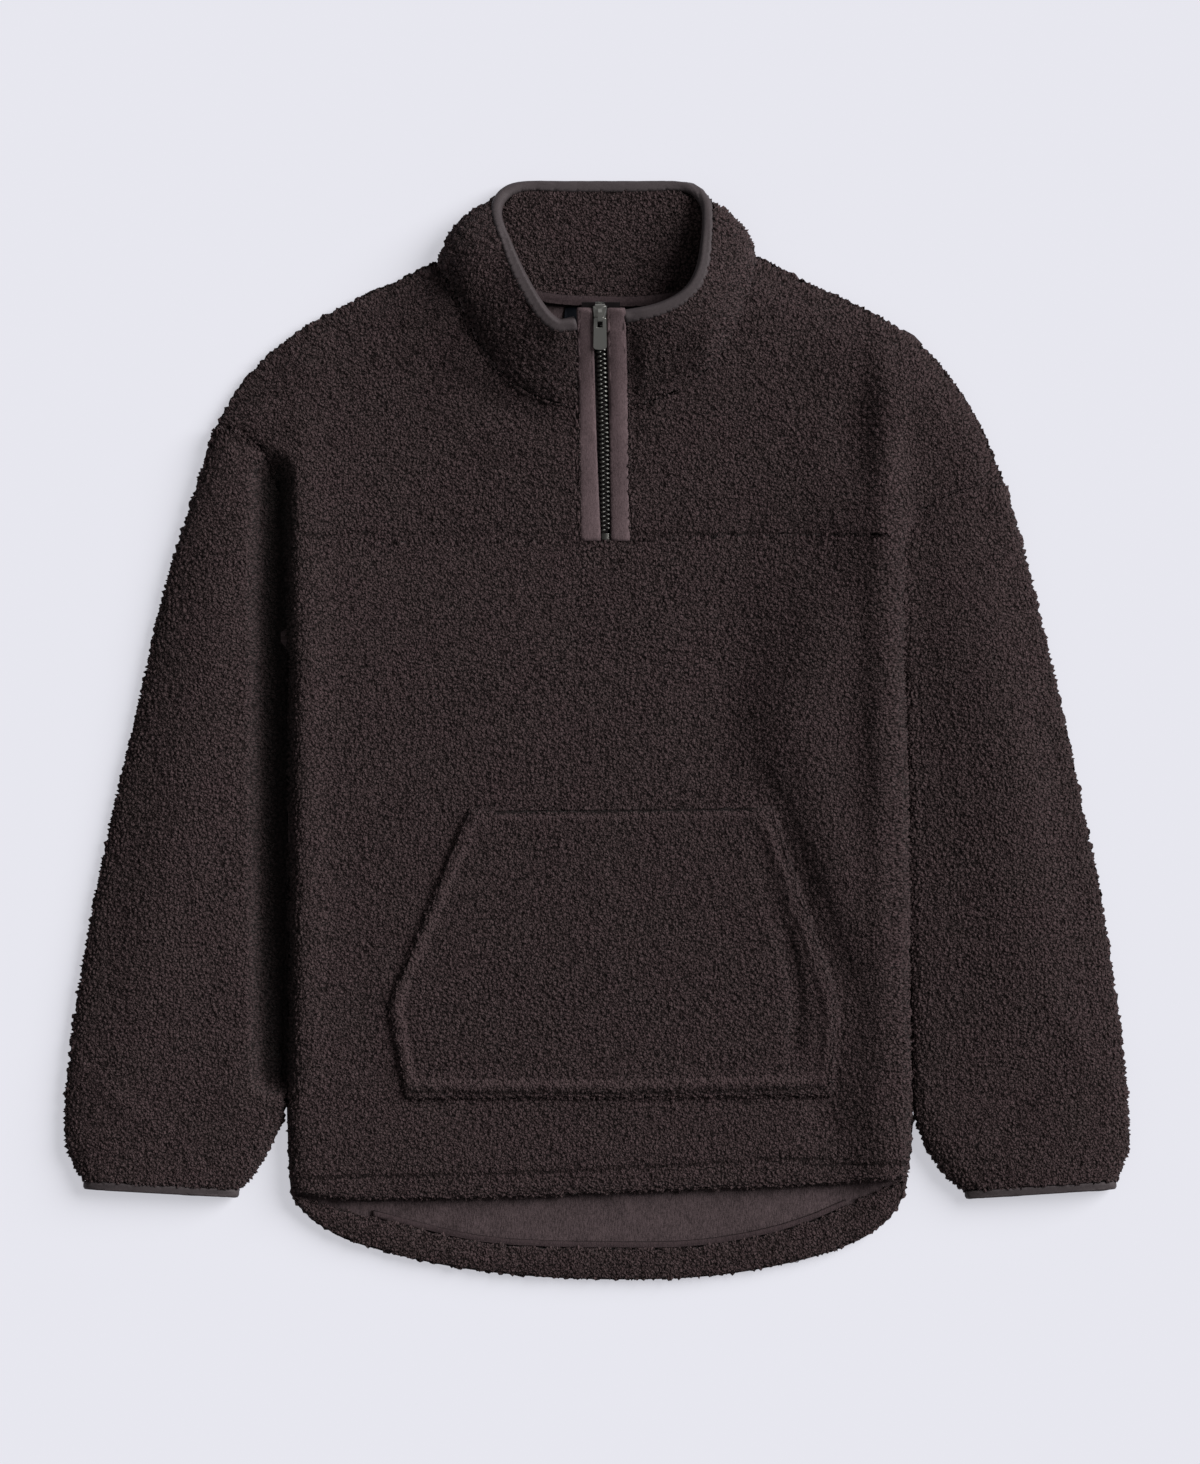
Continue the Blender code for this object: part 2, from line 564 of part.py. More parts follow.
def build_yoke(side):
    """A yoke from the armhole to the zip, and from the seam below it to the shoulder."""
    left_side = side == "left"
    armhole = armhole_left if left_side else armhole_right
    shoulder = shoulder_left if left_side else shoulder_right
    neck = NECK_FRONT_LEFT if left_side else NECK_FRONT_RIGHT
    facing_column = 2 if left_side else 6
    away = -SEAM_GAP if left_side else SEAM_GAP
    zip_edge = [(row[facing_column] + away, row[0]) for row in ZIP[:3]] + [neck[0]]
    seam_end = zip_edge[0][0]
    zip_edge[0] = (seam_end, np.interp(seam_end, *yoke_seam.points.T))
    seam_start = YOKE_SEAM[0 if left_side else -1][0]
    seam = Route([(x, np.interp(x, *yoke_seam.points.T)) for x in np.linspace(seam_start, seam_end, 7)])
    above, _ = armhole_stations(armhole)
    across = cross_stations(seam.length, SIDE_ROLL, SEAM_DIP_REACH, 8)
    inner_edge = Route(zip_edge, neck)
    corner = Route(zip_edge).length / inner_edge.length
    inner_up = np.concatenate((np.linspace(0, corner, 3, endpoint=False), np.linspace(corner, 1, 6)))
    bottom = seam.at(across) + (0, SEAM_GAP / 2)
    outer_points = armhole.at(above)[::-1]
    inner_points = inner_edge.at(inner_up)
    outer_points[0], inner_points[0] = bottom[0], bottom[-1]
    up = above / above[-1]
    plan = patch(bottom, shoulder.at(1 - across), outer_points, inner_points, across, up)
    outer = outer_left if left_side else outer_right
    line = valley_left if left_side else valley_right
    valley = VALLEY_LEFT if left_side else VALLEY_RIGHT
    return panel(f"yoke_{side}", plan, lambda points: yoke_faces(points, outer, line, valley))


# ---------------------------------------------------------------- sleeves and cuffs
def sleeve_rows(side):
    """Ends of a sleeve's cross rows, on its outer fold and on the armhole or inner fold, and
    the number of rows that are still open to the armhole."""
    left_side = side == "left"
    armhole = armhole_left if left_side else armhole_right
    outer = sleeve_out_left if left_side else sleeve_out_right
    fold = Route(SLEEVE_IN_LEFT if left_side else SLEEVE_IN_RIGHT)
    above, below = armhole_stations(armhole)
    on_armhole = armhole.at(np.concatenate((above, below[1:])))
    way = np.diff(on_armhole, axis=0)
    way = np.vstack((way, way[-1:]))
    outward = np.stack((way[:, 1], -way[:, 0]), axis=-1) * (1 if left_side else -1)
    on_armhole += outward / np.linalg.norm(outward, axis=1)[:, None] * SLEEVE_GAP
    on_fold = fold.at(np.concatenate((np.linspace(0, 0.72, 7), np.linspace(0.8, 1, 4))))
    inner = np.vstack((on_armhole[1:], on_fold))
    steps = np.linalg.norm(np.diff(inner, axis=0), axis=1)
    first_row = 6.0
    travelled = np.concatenate(([first_row], first_row + np.cumsum(steps)))
    return outer.at(travelled / travelled[-1]), inner, len(on_armhole) - 1


def ring_row(start, end, height, closed, valley, inset=0.0):
    """One cross row of a sleeve: its outside and inside loops, top from the body outwards."""
    way = (end - start) / np.linalg.norm(end - start)
    start, end = start + way * inset, end - way * inset
    width = np.linalg.norm(end - start)
    reach = min(SLEEVE_ROLL, 0.45 * width)
    share = cross_stations(width, reach, reach, 3)
    plan = start + (end - start) * share[:, None]
    from_outer, from_inner = share * width, (1 - share) * width
    crown = SLEEVE_CROWN * np.sin(np.pi * share) * min(1, width / 60)
    top_level = height + crown + relief(plan, SLEEVE_FOLDS) - inset
    wall = min(BOUCLE, 0.3 * width)
    inside_level = np.maximum(top_level - BOUCLE + inset, FOLD_LEVEL)
    rise_outer = rounded(from_outer, reach)
    top = FOLD_LEVEL + (top_level - FOLD_LEVEL) * rise_outer
    inside = FOLD_LEVEL + (inside_level - FOLD_LEVEL) * rise_outer
    level = np.full(len(plan), FOLD_LEVEL)
    if not closed:
        level = valley_level(plan, top_level, valley, FOLD_LEVEL)
    inner_level = np.maximum(level - BOUCLE, FOLD_LEVEL)
    rise_inner = rounded(from_inner, reach)
    top -= np.maximum(top - level, 0) * (1 - rise_inner)
    inside -= np.maximum(inside - inner_level, 0) * (1 - rise_inner)
    under_inner = rounded(from_inner, EDGE_ROUNDING) if closed else np.ones(len(plan))
    under = FOLD_LEVEL * (1 - rounded(from_outer, EDGE_ROUNDING) * under_inner) + inset
    under = np.minimum(under, FOLD_LEVEL)
    lining = np.full(len(plan), BACK_TOP)
    fall_outer = (wall * (1 - np.clip(from_outer / reach, 0, 1)))[:, None] * way
    fall_inner = (wall * (1 - np.clip(from_inner / reach, 0, 1)))[:, None] * way if closed else 0
    shifted = plan + fall_outer - fall_inner
    top_loop = np.column_stack((plan, top))[::-1]
    bottom_loop = np.column_stack((plan, under))[1:]
    top_inside = np.column_stack((shifted, np.minimum(inside, top - LEAST_SLEEVE_WALL)))[::-1]
    bottom_inside = np.column_stack((shifted, lining))[1:]
    top_inside[-1, 2] = FOLD_LEVEL
    if closed:
        top_inside[0, 2] = FOLD_LEVEL
    return np.vstack((top_loop, bottom_loop)), np.vstack((top_inside, bottom_inside))


def tube_solid(name, rows, finish):
    """A wall through cross rows. A closed row's two ends meet in one point."""
    outside, inside, index = [], [], []
    for loop, inner_loop, closed in rows:
        first = len(outside)
        numbers = list(range(first, first + len(loop)))
        if closed:
            numbers[-1] = first
        outside.extend(loop)
        inside.extend(inner_loop)
        index.append(numbers)
    return wall_solid(name, np.array(outside), np.array(inside), grid_faces(index), finish)


def build_sleeve(side):
    """A sleeve folded flat, and the narrow binding that shows past its end."""
    valley = VALLEY_LEFT if side == "left" else VALLEY_RIGHT
    outer, inner, open_rows = sleeve_rows(side)
    rows = []
    for number, (start, end) in enumerate(zip(outer, inner)):
        closed = number >= open_rows
        rows.append((*ring_row(start, end, SLEEVE_TOP, closed, valley), closed))
    tube_solid(f"sleeve_{side}", rows, "boucle")

    cuff = inner[-1] - outer[-1]
    way = np.array((cuff[1], -cuff[0])) / np.linalg.norm(cuff)
    way *= -np.sign(way[1])
    full, end = CUFF_BINDING_INSET, CUFF_BINDING_INSET + 0.8
    rows = []
    # columns: distance past the sleeve's end, inset of the section
    for past, inset in ((SEAM_GAP, full), (CUFF_BINDING - CUFF_BINDING_ROUNDING, full), (CUFF_BINDING, end)):
        loops = ring_row(outer[-1] + way * past, inner[-1] + way * past, SLEEVE_TOP, True, valley, inset)
        rows.append((*loops, True))
    tube_solid(f"cuff_binding_{side}", rows, "binding")


# ---------------------------------------------------------------- collar
def collar_surface(columns_between, rows):
    """Outside of the collar, its normals pointing out, and its thickness share."""
    sections = np.array(COLLAR_LEFT[::-1] + COLLAR_RIGHT[1:], dtype=float)
    position = np.arange(len(sections), dtype=float)
    wanted = np.linspace(0, len(sections) - 1, (len(sections) - 1) * columns_between + 1)
    slopes = np.gradient(sections, axis=0)
    k = np.minimum(wanted.astype(int), len(sections) - 2)
    t = (wanted - position[k])[:, None]
    dense = hermite(t, sections[k], slopes[k], sections[k + 1], slopes[k + 1])
    seam, middle, edge, share = dense[:, 0:3], dense[:, 3:6], dense[:, 6:9], dense[:, 9]
    up = np.linspace(0, 1, rows)[:, None, None]
    points = (1 - up) * (1 - 2 * up) * seam + 4 * up * (1 - up) * middle + up * (2 * up - 1) * edge
    points[..., 2] = np.maximum(points[..., 2], 0)
    along = np.gradient(points, axis=1)
    rise = np.gradient(points, axis=0)
    normal = np.cross(rise, along)
    normal /= np.linalg.norm(normal, axis=2)[..., None]
    thickness = 1 - (1 - share)[None, :] * (1 - 0.6 * up[..., 0])
    return points, normal, along, thickness


def build_collar():
    points, normal, along, thickness = collar_surface(2, 5)
    index = np.arange(points.shape[0] * points.shape[1]).reshape(points.shape[:2])
    depth = thickness[..., None]
    layers = (("collar_outer", 0.0, COLLAR_OUTER),
              ("collar_inner", COLLAR_OUTER + SEAM_GAP, COLLAR_OUTER + SEAM_GAP + COLLAR_INNER))
    for name, near, far in layers:
        outside = points - normal * near * depth
        inside = points - normal * far * depth
        wall_solid(name, outside.reshape(-1, 3), inside.reshape(-1, 3), grid_faces(index), "boucle")
    build_collar_binding(points[-1], normal[-1], along[-1], depth[-1])


def build_collar_binding(edge, normal, along, depth):
    """The folded binding that closes the top edges of both collar layers."""
    rise = np.cross(along, normal)
    rise /= np.linalg.norm(rise, axis=1)[:, None]
    total = (COLLAR_OUTER + SEAM_GAP + COLLAR_INNER) * depth
    side = COLLAR_BINDING - COLLAR_BINDING_ROUNDING
    # columns: share of the thickness, distance past the edge
    section = ((0.0, 0.0), (0.0, side), (0.22, COLLAR_BINDING), (0.78, COLLAR_BINDING), (1.0, side),
               (1.0, 0.0))
    near = 3
    padded = np.pad(depth, ((near, near), (0, 0)), mode="edge")
    thinnest = np.min([padded[k:k + len(depth)] for k in range(2 * near + 1)], axis=0)
    clear = SEAM_GAP + FOLD_CLEARANCE * (1 - thinnest)
    rings = np.stack([edge - normal * total * share + rise * np.maximum(past, clear)
                      for share, past in section], axis=1)
    bm = bmesh.new()
    made = [[bm.verts.new(to_metres(point)) for point in ring] for ring in rings]
    for low, high in zip(made[:-1], made[1:]):
        for k in range(len(section)):
            following = (k + 1) % len(section)
            bm.faces.new((low[k], low[following], high[following], high[k]))
    bm.faces.new(made[0])
    bm.faces.new(made[-1])
    bmesh.ops.recalc_face_normals(bm, faces=bm.faces[:])
    mesh = bpy.data.meshes.new("collar_binding")
    bm.to_mesh(mesh)
    bm.free()
    add_object("collar_binding", mesh, "binding")


def build_neck_trim():
    """The tape over the back neck seam, and the blank label that hangs from it."""
    line = Route(NECK_BACK).at(np.linspace(0.17, 0.83, 19))
    half = (0, NECK_TAPE_WIDTH / 2)
    floor = COLLAR_OUTER + COLLAR_INNER + 2 * SEAM_GAP
    strip("neck_tape", Route(line - half), Route(line + half), floor, floor + NECK_TAPE_THICKNESS, 13,
          0.8, "knit")
    centre = (*LABEL_CENTRE, FRONT_SEAT + LABEL_SIZE[2] / 2)
    add_box("label", LABEL_SIZE, centre, 0.25, "label")


# ---------------------------------------------------------------- pocket and hem
def build_pocket():
    """The pouch pocket: a six-sided panel that follows the front beneath it."""
    corners = [*POCKET_LEFT, *POCKET_RIGHT[::-1]]
    edges = [Route([a, b]) for a, b in zip(corners, corners[1:] + corners[:1])]
    height = POCKET_LEFT[-1][1] - POCKET_LEFT[0][1]
    width = POCKET_RIGHT[0][0] - POCKET_LEFT[0][0]
    up = np.sort([*cross_stations(height, POCKET_ROUNDING, POCKET_ROUNDING, 4), POCKET_CORNER])
    left, right = (np.stack([np.interp(up, (0, POCKET_CORNER, 1), axis) for axis in zip(*side)], axis=-1)
                   for side in (POCKET_LEFT, POCKET_RIGHT))
    across = cross_stations(width, POCKET_ROUNDING, POCKET_ROUNDING, 6)
    bottom = left[0] + (right[0] - left[0]) * across[:, None]
    top = left[-1] + (right[-1] - left[-1]) * across[:, None]

    def faces(points):
        under = front_faces(points)[0][:, 2] + POCKET_CLEARANCE
        edge, _ = nearest(points, *edges)
        over = under + POCKET_THICKNESS - POCKET_ROUNDING_DROP * (1 - rounded(edge, POCKET_ROUNDING))
        return np.column_stack((points, over)), np.column_stack((points, under))

    return panel("pocket", patch(bottom, top, left, right, across, up), faces)


def build_back_hem():
    """The back hem turned up inside, and the tape along its upper edge."""
    band_edge = Route(BAND_TOP_EDGE)
    low = Route(back_hem.at(np.linspace(0.012, 0.988, 40)) + (0, SEAM_GAP))
    strip("back_hem_band", low, band_edge, FRONT_SEAT, HEM_BAND_TOP, 25, HEM_BAND_ROUNDING, "boucle")
    line = band_edge.at(np.linspace(0.13, 0.9, 30)) + (0, SEAM_GAP + 0.2)
    strip("hem_tape", Route(line), Route(line + (0, HEM_TAPE_WIDTH)), FRONT_SEAT,
          FRONT_SEAT + HEM_TAPE_THICKNESS, 15, 0.7, "knit")


# ---------------------------------------------------------------- zip
def zip_column(y, column):
    table = np.array(ZIP, dtype=float)
    return np.interp(y, table[:, 0], table[:, column])


zip_profile = smooth_through([(row[0], row[1]) for row in ZIP])


def zip_height(y):
    return np.interp(y, zip_profile[:, 0], zip_profile[:, 1])


def zip_normal(y):
    slope = (zip_height(y + 2) - zip_height(y - 2)) / 4
    length = np.sqrt(1 + slope ** 2)
    return np.stack((np.zeros_like(slope), -slope / length, 1 / length), axis=-1)


def zip_strip(name, left, right, start, end, top, bottom, rounding, finish):
    """A strip that runs along the zip between two x positions, which are functions of y."""
    shared = np.linspace(FACING_FROM, FACING_TO, 11)
    y = np.concatenate(((start,), shared[(shared > start + 1) & (shared < end - 1)], (end,)))
    across = np.array((0.0, 0.1, 0.5, 0.9, 1.0))
    drop = np.array((rounding, 0.2 * rounding, 0.0, 0.2 * rounding, rounding))
    x = left(y)[:, None] * (1 - across) + right(y)[:, None] * across
    rows = np.broadcast_arrays(x, y[:, None], zip_height(y)[:, None])
    base = np.stack(rows, axis=-1)
    normal = zip_normal(y)[:, None]
    outside = base + normal * (top - drop)[None, :, None]
    inside = base + normal * bottom
    index = np.arange(x.size).reshape(x.shape)
    return wall_solid(name, outside.reshape(-1, 3), inside.reshape(-1, 3), grid_faces(index), finish)


def zip_edge(column, shift=0.0):
    """The x position, at any y, of a line that the zip's table gives, moved sideways."""
    return lambda y: zip_column(y, column) + shift


def build_zip():
    half = CHAIN_WIDTH / 2
    beside = half + SEAM_GAP
    # columns: piece, left edge, right edge
    for name, left, right in (("facing_left", zip_edge(2), zip_edge(3)),
                              ("facing_right", zip_edge(5), zip_edge(6))):
        zip_strip(name, left, right, FACING_FROM, FACING_TO, FACING_TOP, FACING_BOTTOM, 0.7, "facing")
    for name, left, right in (
            ("zip_tape_left", zip_edge(2, ZIP_TAPE_INSET), zip_edge(4, -beside)),
            ("zip_tape_right", zip_edge(4, beside), zip_edge(6, -ZIP_TAPE_INSET))):
        zip_strip(name, left, right, FACING_FROM, ZIP_TAPE_TO, ZIP_TAPE_TOP, ZIP_TAPE_BOTTOM, 0.1,
                  "zip_tape")
    stop_end = FACING_FROM + STOP_LENGTH
    chain_end = SLIDER_MIDDLE_Y - SLIDER_LENGTH / 2 - 2 * SEAM_GAP
    top, bottom = CHAIN_MIDDLE + CHAIN_HALF_THICKNESS, CHAIN_MIDDLE - CHAIN_HALF_THICKNESS
    left, right = zip_edge(4, -half), zip_edge(4, half)
    zip_strip("zip_chain", left, right, stop_end + SEAM_GAP, chain_end, top, bottom, 0.6, "zip_metal")
    zip_strip("zip_stop", left, right, FACING_FROM, stop_end, top + 0.2, bottom, 0.5, "zip_metal")


# ---------------------------------------------------------------- slider and pull
def add_box(name, size, centre, bevel, finish):
    bm = bmesh.new()
    bmesh.ops.create_cube(bm, size=1.0)
    bmesh.ops.scale(bm, vec=Vector(size) * MM, verts=bm.verts[:])
    if bevel:
        bmesh.ops.bevel(bm, geom=bm.edges[:], offset=bevel * MM, segments=1, affect="EDGES")
    mesh = bpy.data.meshes.new(name)
    bm.to_mesh(mesh)
    bm.free()
    made = add_object(name, mesh, finish)
    made.location = to_metres(centre)
    return made


def extruded(name, outline, way, thickness, finish):
    """A flat outline of 3-D points, made as thick as asked along its normal."""
    bm = bmesh.new()
    face = bm.faces.new([bm.verts.new(to_metres(point)) for point in outline])
    lifted = bmesh.ops.extrude_face_region(bm, geom=[face])["geom"]
    bmesh.ops.translate(bm, vec=Vector(way) * thickness * MM,
                        verts=[item for item in lifted if isinstance(item, bmesh.types.BMVert)])
    bmesh.ops.recalc_face_normals(bm, faces=bm.faces[:])
    mesh = bpy.data.meshes.new(name)
    bm.to_mesh(mesh)
    bm.free()
    return add_object(name, mesh, finish, smooth=False)


def combine(base, others, operation):
    """Unite solids into the first one, or cut them out of it."""
    for other in others:
        step = base.modifiers.new(operation.lower(), "BOOLEAN")
        step.operation = operation
        step.object = other
    depsgraph = bpy.context.evaluated_depsgraph_get()
    mesh = bpy.data.meshes.new_from_object(base.evaluated_get(depsgraph))
    base.modifiers.clear()
    base.data = mesh
    for other in others:
        bpy.data.objects.remove(other)


def slider_plate(name, level):
    """A slider plate, wide at the shoulders and narrower at the mouth."""
    plate = add_box(name, (SLIDER_WIDTH, SLIDER_LENGTH, SLIDER_PLATE), (0, 0, 0), 0.0, "zip_metal")
    bm = bmesh.new()
    bm.from_mesh(plate.data)
    for vert in bm.verts:
        if vert.co.y < 0:
            vert.co.x *= SLIDER_MOUTH_WIDTH / SLIDER_WIDTH
        vert.co.z += level * MM
    upright = [edge for edge in bm.edges if abs(edge.verts[0].co.z - edge.verts[1].co.z) > 0.5 * MM]
    bmesh.ops.bevel(bm, geom=upright, offset=SLIDER_CORNER * MM, segments=3, affect="EDGES")
    bm.to_mesh(plate.data)
    bm.free()
    return plate


def build_slider():
    """Two plates joined by a post, with the bridge that holds the pull tab."""
    middle = SLIDER_HALF_HEIGHT - SLIDER_PLATE / 2
    slider = slider_plate("zip_slider", middle)
    lower = slider_plate("lower_plate", -middle)
    width, length = SLIDER_POST
    post = add_box("post", (width, length, 2 * middle), (0, SLIDER_LENGTH / 2 - SLIDER_CORNER * 2, 0), 0.0,
                   "zip_metal")
    foot = SLIDER_HALF_HEIGHT - 0.5
    clear = SLIDER_HALF_HEIGHT + BRIDGE_CLEAR
    top = clear + BRIDGE_THICKNESS
    low, high = BRIDGE_FROM, BRIDGE_TO
    leg_low, leg_high = low + 0.8, high - BRIDGE_THICKNESS
    outer_arch = ((low, foot), (low, clear - 0.4), (low + 1.1, top), (high - 1.4, top),
                  (high, clear - 0.6), (high, foot))
    inner_arch = ((leg_high, foot), (leg_high, clear - 0.9), (high - 1.9, clear), (leg_low + 0.8, clear),
                  (leg_low, clear - 0.8), (leg_low, foot))
    outline = [(-BRIDGE_WIDTH / 2, y, z) for y, z in outer_arch + inner_arch]
    bridge = extruded("bridge", outline, (1, 0, 0), BRIDGE_WIDTH, "zip_metal")
    combine(slider, (lower, post, bridge), "UNION")
    return slider


def build_pull_tab():
    """A flat tab with a rounded end. Its hinge is the bar above its window."""
    bar = TAB_BAR / 2
    length = TAB_LENGTH - bar
    turns = np.radians((90, 60, 30, 0.01))
    round_end = [(TAB_WIDTH_END / 2 * np.sin(turn) ** 0.7, TAB_END_ROUNDING * (1 - np.cos(turn)) - length)
                 for turn in turns]
    right = [(TAB_WIDTH_TOP / 2 - TAB_CORNER, bar), (TAB_WIDTH_TOP / 2, bar - TAB_CORNER)] + round_end
    outline = [(x, y, -TAB_THICKNESS / 2) for x, y in right + [(-x, y) for x, y in right[::-1]]]
    tab = extruded("pull_tab", outline, (0, 0, 1), TAB_THICKNESS, "pull_metal")
    width, window = TAB_WINDOW
    cutter = add_box("window", (width, window, 4 * TAB_THICKNESS), (0, -bar - window / 2, 0), 0.0,
                     "pull_metal")
    combine(tab, (cutter,), "DIFFERENCE")
    return tab


def place_slider_and_pull():
    """Both lie along the slope of the zip, the tab down from the bridge's lower end."""
    slider, tab = build_slider(), build_pull_tab()
    y = np.array([SLIDER_MIDDLE_Y])
    normal = zip_normal(y)[0]
    place = np.array((zip_column(y, 4)[0], y[0], zip_height(y)[0])) + normal * CHAIN_MIDDLE
    pitch = np.arctan2(-normal[1], normal[2])
    along = np.array((0, np.cos(pitch), np.sin(pitch)))
    hinge = place + along * HINGE_ALONG + normal * (SLIDER_HALF_HEIGHT + HINGE_ABOVE_PLATE)
    slider.rotation_euler = tab.rotation_euler = (pitch, 0, 0)
    slider.location, tab.location = to_metres(place), to_metres(hinge)


# ---------------------------------------------------------------- the garment
for leftover in list(bpy.data.objects):
    bpy.data.objects.remove(leftover)
garment = bpy.data.collections.new(GARMENT)
bpy.context.scene.collection.children.link(garment)

build_back()
build_front()
for side in ("left", "right"):
    build_yoke(side)
    build_sleeve(side)
build_collar()
build_neck_trim()
build_pocket()
build_back_hem()
build_zip()
place_slider_and_pull()
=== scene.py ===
import math

import bmesh
import bpy
import numpy as np
from mathutils import Matrix, Vector
from mathutils.bvhtree import BVHTree


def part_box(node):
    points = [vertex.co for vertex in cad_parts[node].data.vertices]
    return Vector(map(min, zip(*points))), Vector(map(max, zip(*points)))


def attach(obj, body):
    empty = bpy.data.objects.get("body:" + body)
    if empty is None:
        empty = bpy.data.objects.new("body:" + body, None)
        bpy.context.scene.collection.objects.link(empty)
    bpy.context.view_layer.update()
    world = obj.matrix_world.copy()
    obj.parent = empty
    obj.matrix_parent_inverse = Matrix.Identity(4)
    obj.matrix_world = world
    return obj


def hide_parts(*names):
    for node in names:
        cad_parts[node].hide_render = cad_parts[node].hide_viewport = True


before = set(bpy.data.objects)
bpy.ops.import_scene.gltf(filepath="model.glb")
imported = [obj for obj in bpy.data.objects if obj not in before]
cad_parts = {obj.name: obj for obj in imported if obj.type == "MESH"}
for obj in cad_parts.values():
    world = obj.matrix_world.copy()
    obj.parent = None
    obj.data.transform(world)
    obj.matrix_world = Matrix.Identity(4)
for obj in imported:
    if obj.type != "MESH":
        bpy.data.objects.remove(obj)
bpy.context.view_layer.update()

MM = 0.001
GARMENT, PULL = "garment", "pull"

# ---------------------------------------------------------------- sizes
PIXEL = 0.75                    # one pixel of the photograph
PICTURE = (1200, 1464)
PICTURE_CENTRE = (2.6, -0.8)    # where the camera looks, on the garment
CAMERA_HEIGHT = 6100.0
SENSOR = 36.0                   # width of the camera's film

# how finely the cloth is cut
WELD = 1e-6                     # metres; points nearer than this are one
TINY = 1e-9                     # keeps a division by nothing from failing
SHARP_EDGE = math.radians(50)   # an edge that turns more than this stays sharp
CORNER_TURN = math.radians(35)  # an outline that turns more than this has a corner
EDGE_FIRST = 14.0               # the solids are cut to this before what is covered is sought
EDGE_FINE = 2.8  # longest triangle edge where the pile shows
EDGE_SMOOTH = 2.6               # and on smooth cloth
EDGE_INSIDE = 5.0               # on the smooth side of the back
EDGE_UNDER = 8.0                # on the side that rests on the floor
EDGE_HIDDEN = 30.0              # between layers
EDGE_STRAIGHT = 28.0            # edges of the solids that are twice as long are straight

# heights of a way out of the cloth: 1 is straight up
LEVEL_FROM, LEVEL_OVER = 0.8, 0.15  # cloth is steep below the first, and level that much above it
LEVEL_LEAST = 0.2               # steeper slopes than this are left out of the evening
SIDEWAYS = 0.3                  # cloth looks up above this and down below its negative
UNDER_WAY = -0.5                # the side that rests on the floor looks down more than this
INSIDE_WAY = 0.6                # and the smooth side of the back looks up more than this

EVEN_PASSES, EVEN_STEP = 4, 0.6  # how often level cloth is evened, and how far each time
ROUND_STEP = 0.5                # how far each pass moves a strip's points to their neighbours' height
COVER_START = 0.05              # where a ray that seeks another layer starts
COVER_CORNER = 0.8              # and the share of the way from a face's centre to its corners
COVER_REACH = 2.0               # how near a layer covers a face that looks sideways,
COVER_REACH_UP = 6.0            # up
COVER_REACH_DOWN = 12.0         # or down

# the pile
CURL = 3.1                      # width of one tuft of the boucle
CURL_SMALL = 1.5                # and of one curl in it
CURL_DEPTH = 2.3                # height of the pile
CURL_BEND, CURL_SWAY = 2.6, 2.2  # size and reach of the bends in its rows
TUFT_SLOPE = (-0.1, 0.34)       # a tuft rises between these distances from its edge
CURL_FALL = 1.3                 # how steeply a curl falls off
TUFT_SHARE = 0.7                # of the pile's height, and the rest is the curls'
PILE_BELOW = 0.70               # share of the pile's height that is below the solid's surface
SIDE_PILE = 2.0                 # how much higher the pile stands on steep sides
UNDER_PILE = 0.3                # and its share on the side that rests on the floor
SEAM_LAP = 1.3                  # how far the pile of one piece reaches over a seam
FIBRE, FIBRE_BUMP = 0.6, 1.4    # size of the fibres' grain, and its height in the shading
PATCH = 26.0                    # size of the patches that differ in colour
SUNK = {"pouch_pocket": 2.2}    # how far a piece presses into the pile under it

# the shoulders' outline
RIM_NEAR = 0.5                  # share of a rim's line from which a face belongs to it
RIM_OUT = 1.6                   # how far the outline is laid out before its pile
RIM_TURN = 0.7                  # how far its pile turns outwards
RIM_THIN = 0.25                 # and how much shorter it is
RIM_INSET = 5.5                 # how far the smooth side of the back stays inside the pile
RIM_MARGIN = (5.0, 20.0)        # but not as near as this to the neck and to the hem

# where the smooth side of the back shows, at the neck and at the hem
NECK_HALF, NECK_FROM = 110.0, 240.0
HEM_BELOW = -320.0

# heights of the cloth above the floor
FLOOR_GAP = 0.15                # nothing comes nearer to the floor than this
UNDER_BELOW = 3.0               # the side that rests on the floor starts below this
LIFT_FROM, LIFT_TO = 0.0, 9.0   # creases are full above the second height and none below the first
LOWEST = 2.4                    # the cloth that shows is never pressed below this
UNDER_TO = 4.0                  # and the underside's creases reach no higher than this
FOLD_ABOVE = 3.5                # and the painted shade of the deep fold no lower

# the zip
TOOTH = (4.4, 2.0, 2.2)         # across the tape, along the chain, and thick
TOOTH_BEVEL = 0.6
TOOTH_PITCH = 3.4               # between two teeth of one row
TOOTH_OFFSET = 1.7              # from the chain's middle to the middle of a tooth
TOOTH_TURN = math.radians(14)   # how far a tooth turns from straight across the tape
CHAIN_STEP = 0.2                # how closely the chain's solid is searched for its middle
CHAIN_ABOVE = 5.0               # and from how far above it
CORE_DROP = 0.9                 # how far inside the chain's solid the tapes' thick edges are
METAL_SHARP = math.radians(28)  # edges of metal that turn more than this are rounded
FLAT_ANGLE = math.radians(1)    # and faces that turn less than this are one face
METAL_ROUND, PULL_ROUND = 0.3, 0.25  # width of that rounding, and on the pull tab

# ---------------------------------------------------------------- colours and light
# linear red, green, blue and alpha; the pile has two of each, between which its patches vary
# the roots are darker with painted shade between the tufts, and the tips lighter with a painted
# highlight
SHADED_ROOTS = ((0.0090, 0.0042, 0.0044, 1), (0.0070, 0.0040, 0.0036, 1))
LIT_TIPS = ((0.069, 0.0425, 0.0455, 1), (0.063, 0.0440, 0.0435, 1))
PAINTED_FOLD_SHADE = (0.0040, 0.0030, 0.0026, 1)  # painted shade: the pile's colour deep in the fold, where little light reaches
FLOOR_COLOUR = (0.32, 0.32, 0.346, 1)
FLOOR_GLOW = (0.480, 0.480, 0.5185, 1)
FLOOR_SIZE = 6.0                # metres, from its middle to its edge
SKY_STRENGTH = 0.20
SUN_STRENGTH = 4.98
SUN_FROM = (0.76, 0.39, 0.50)   # the way to the light
SUN_WIDTH = math.radians(40)    # a wide light gives soft shadows

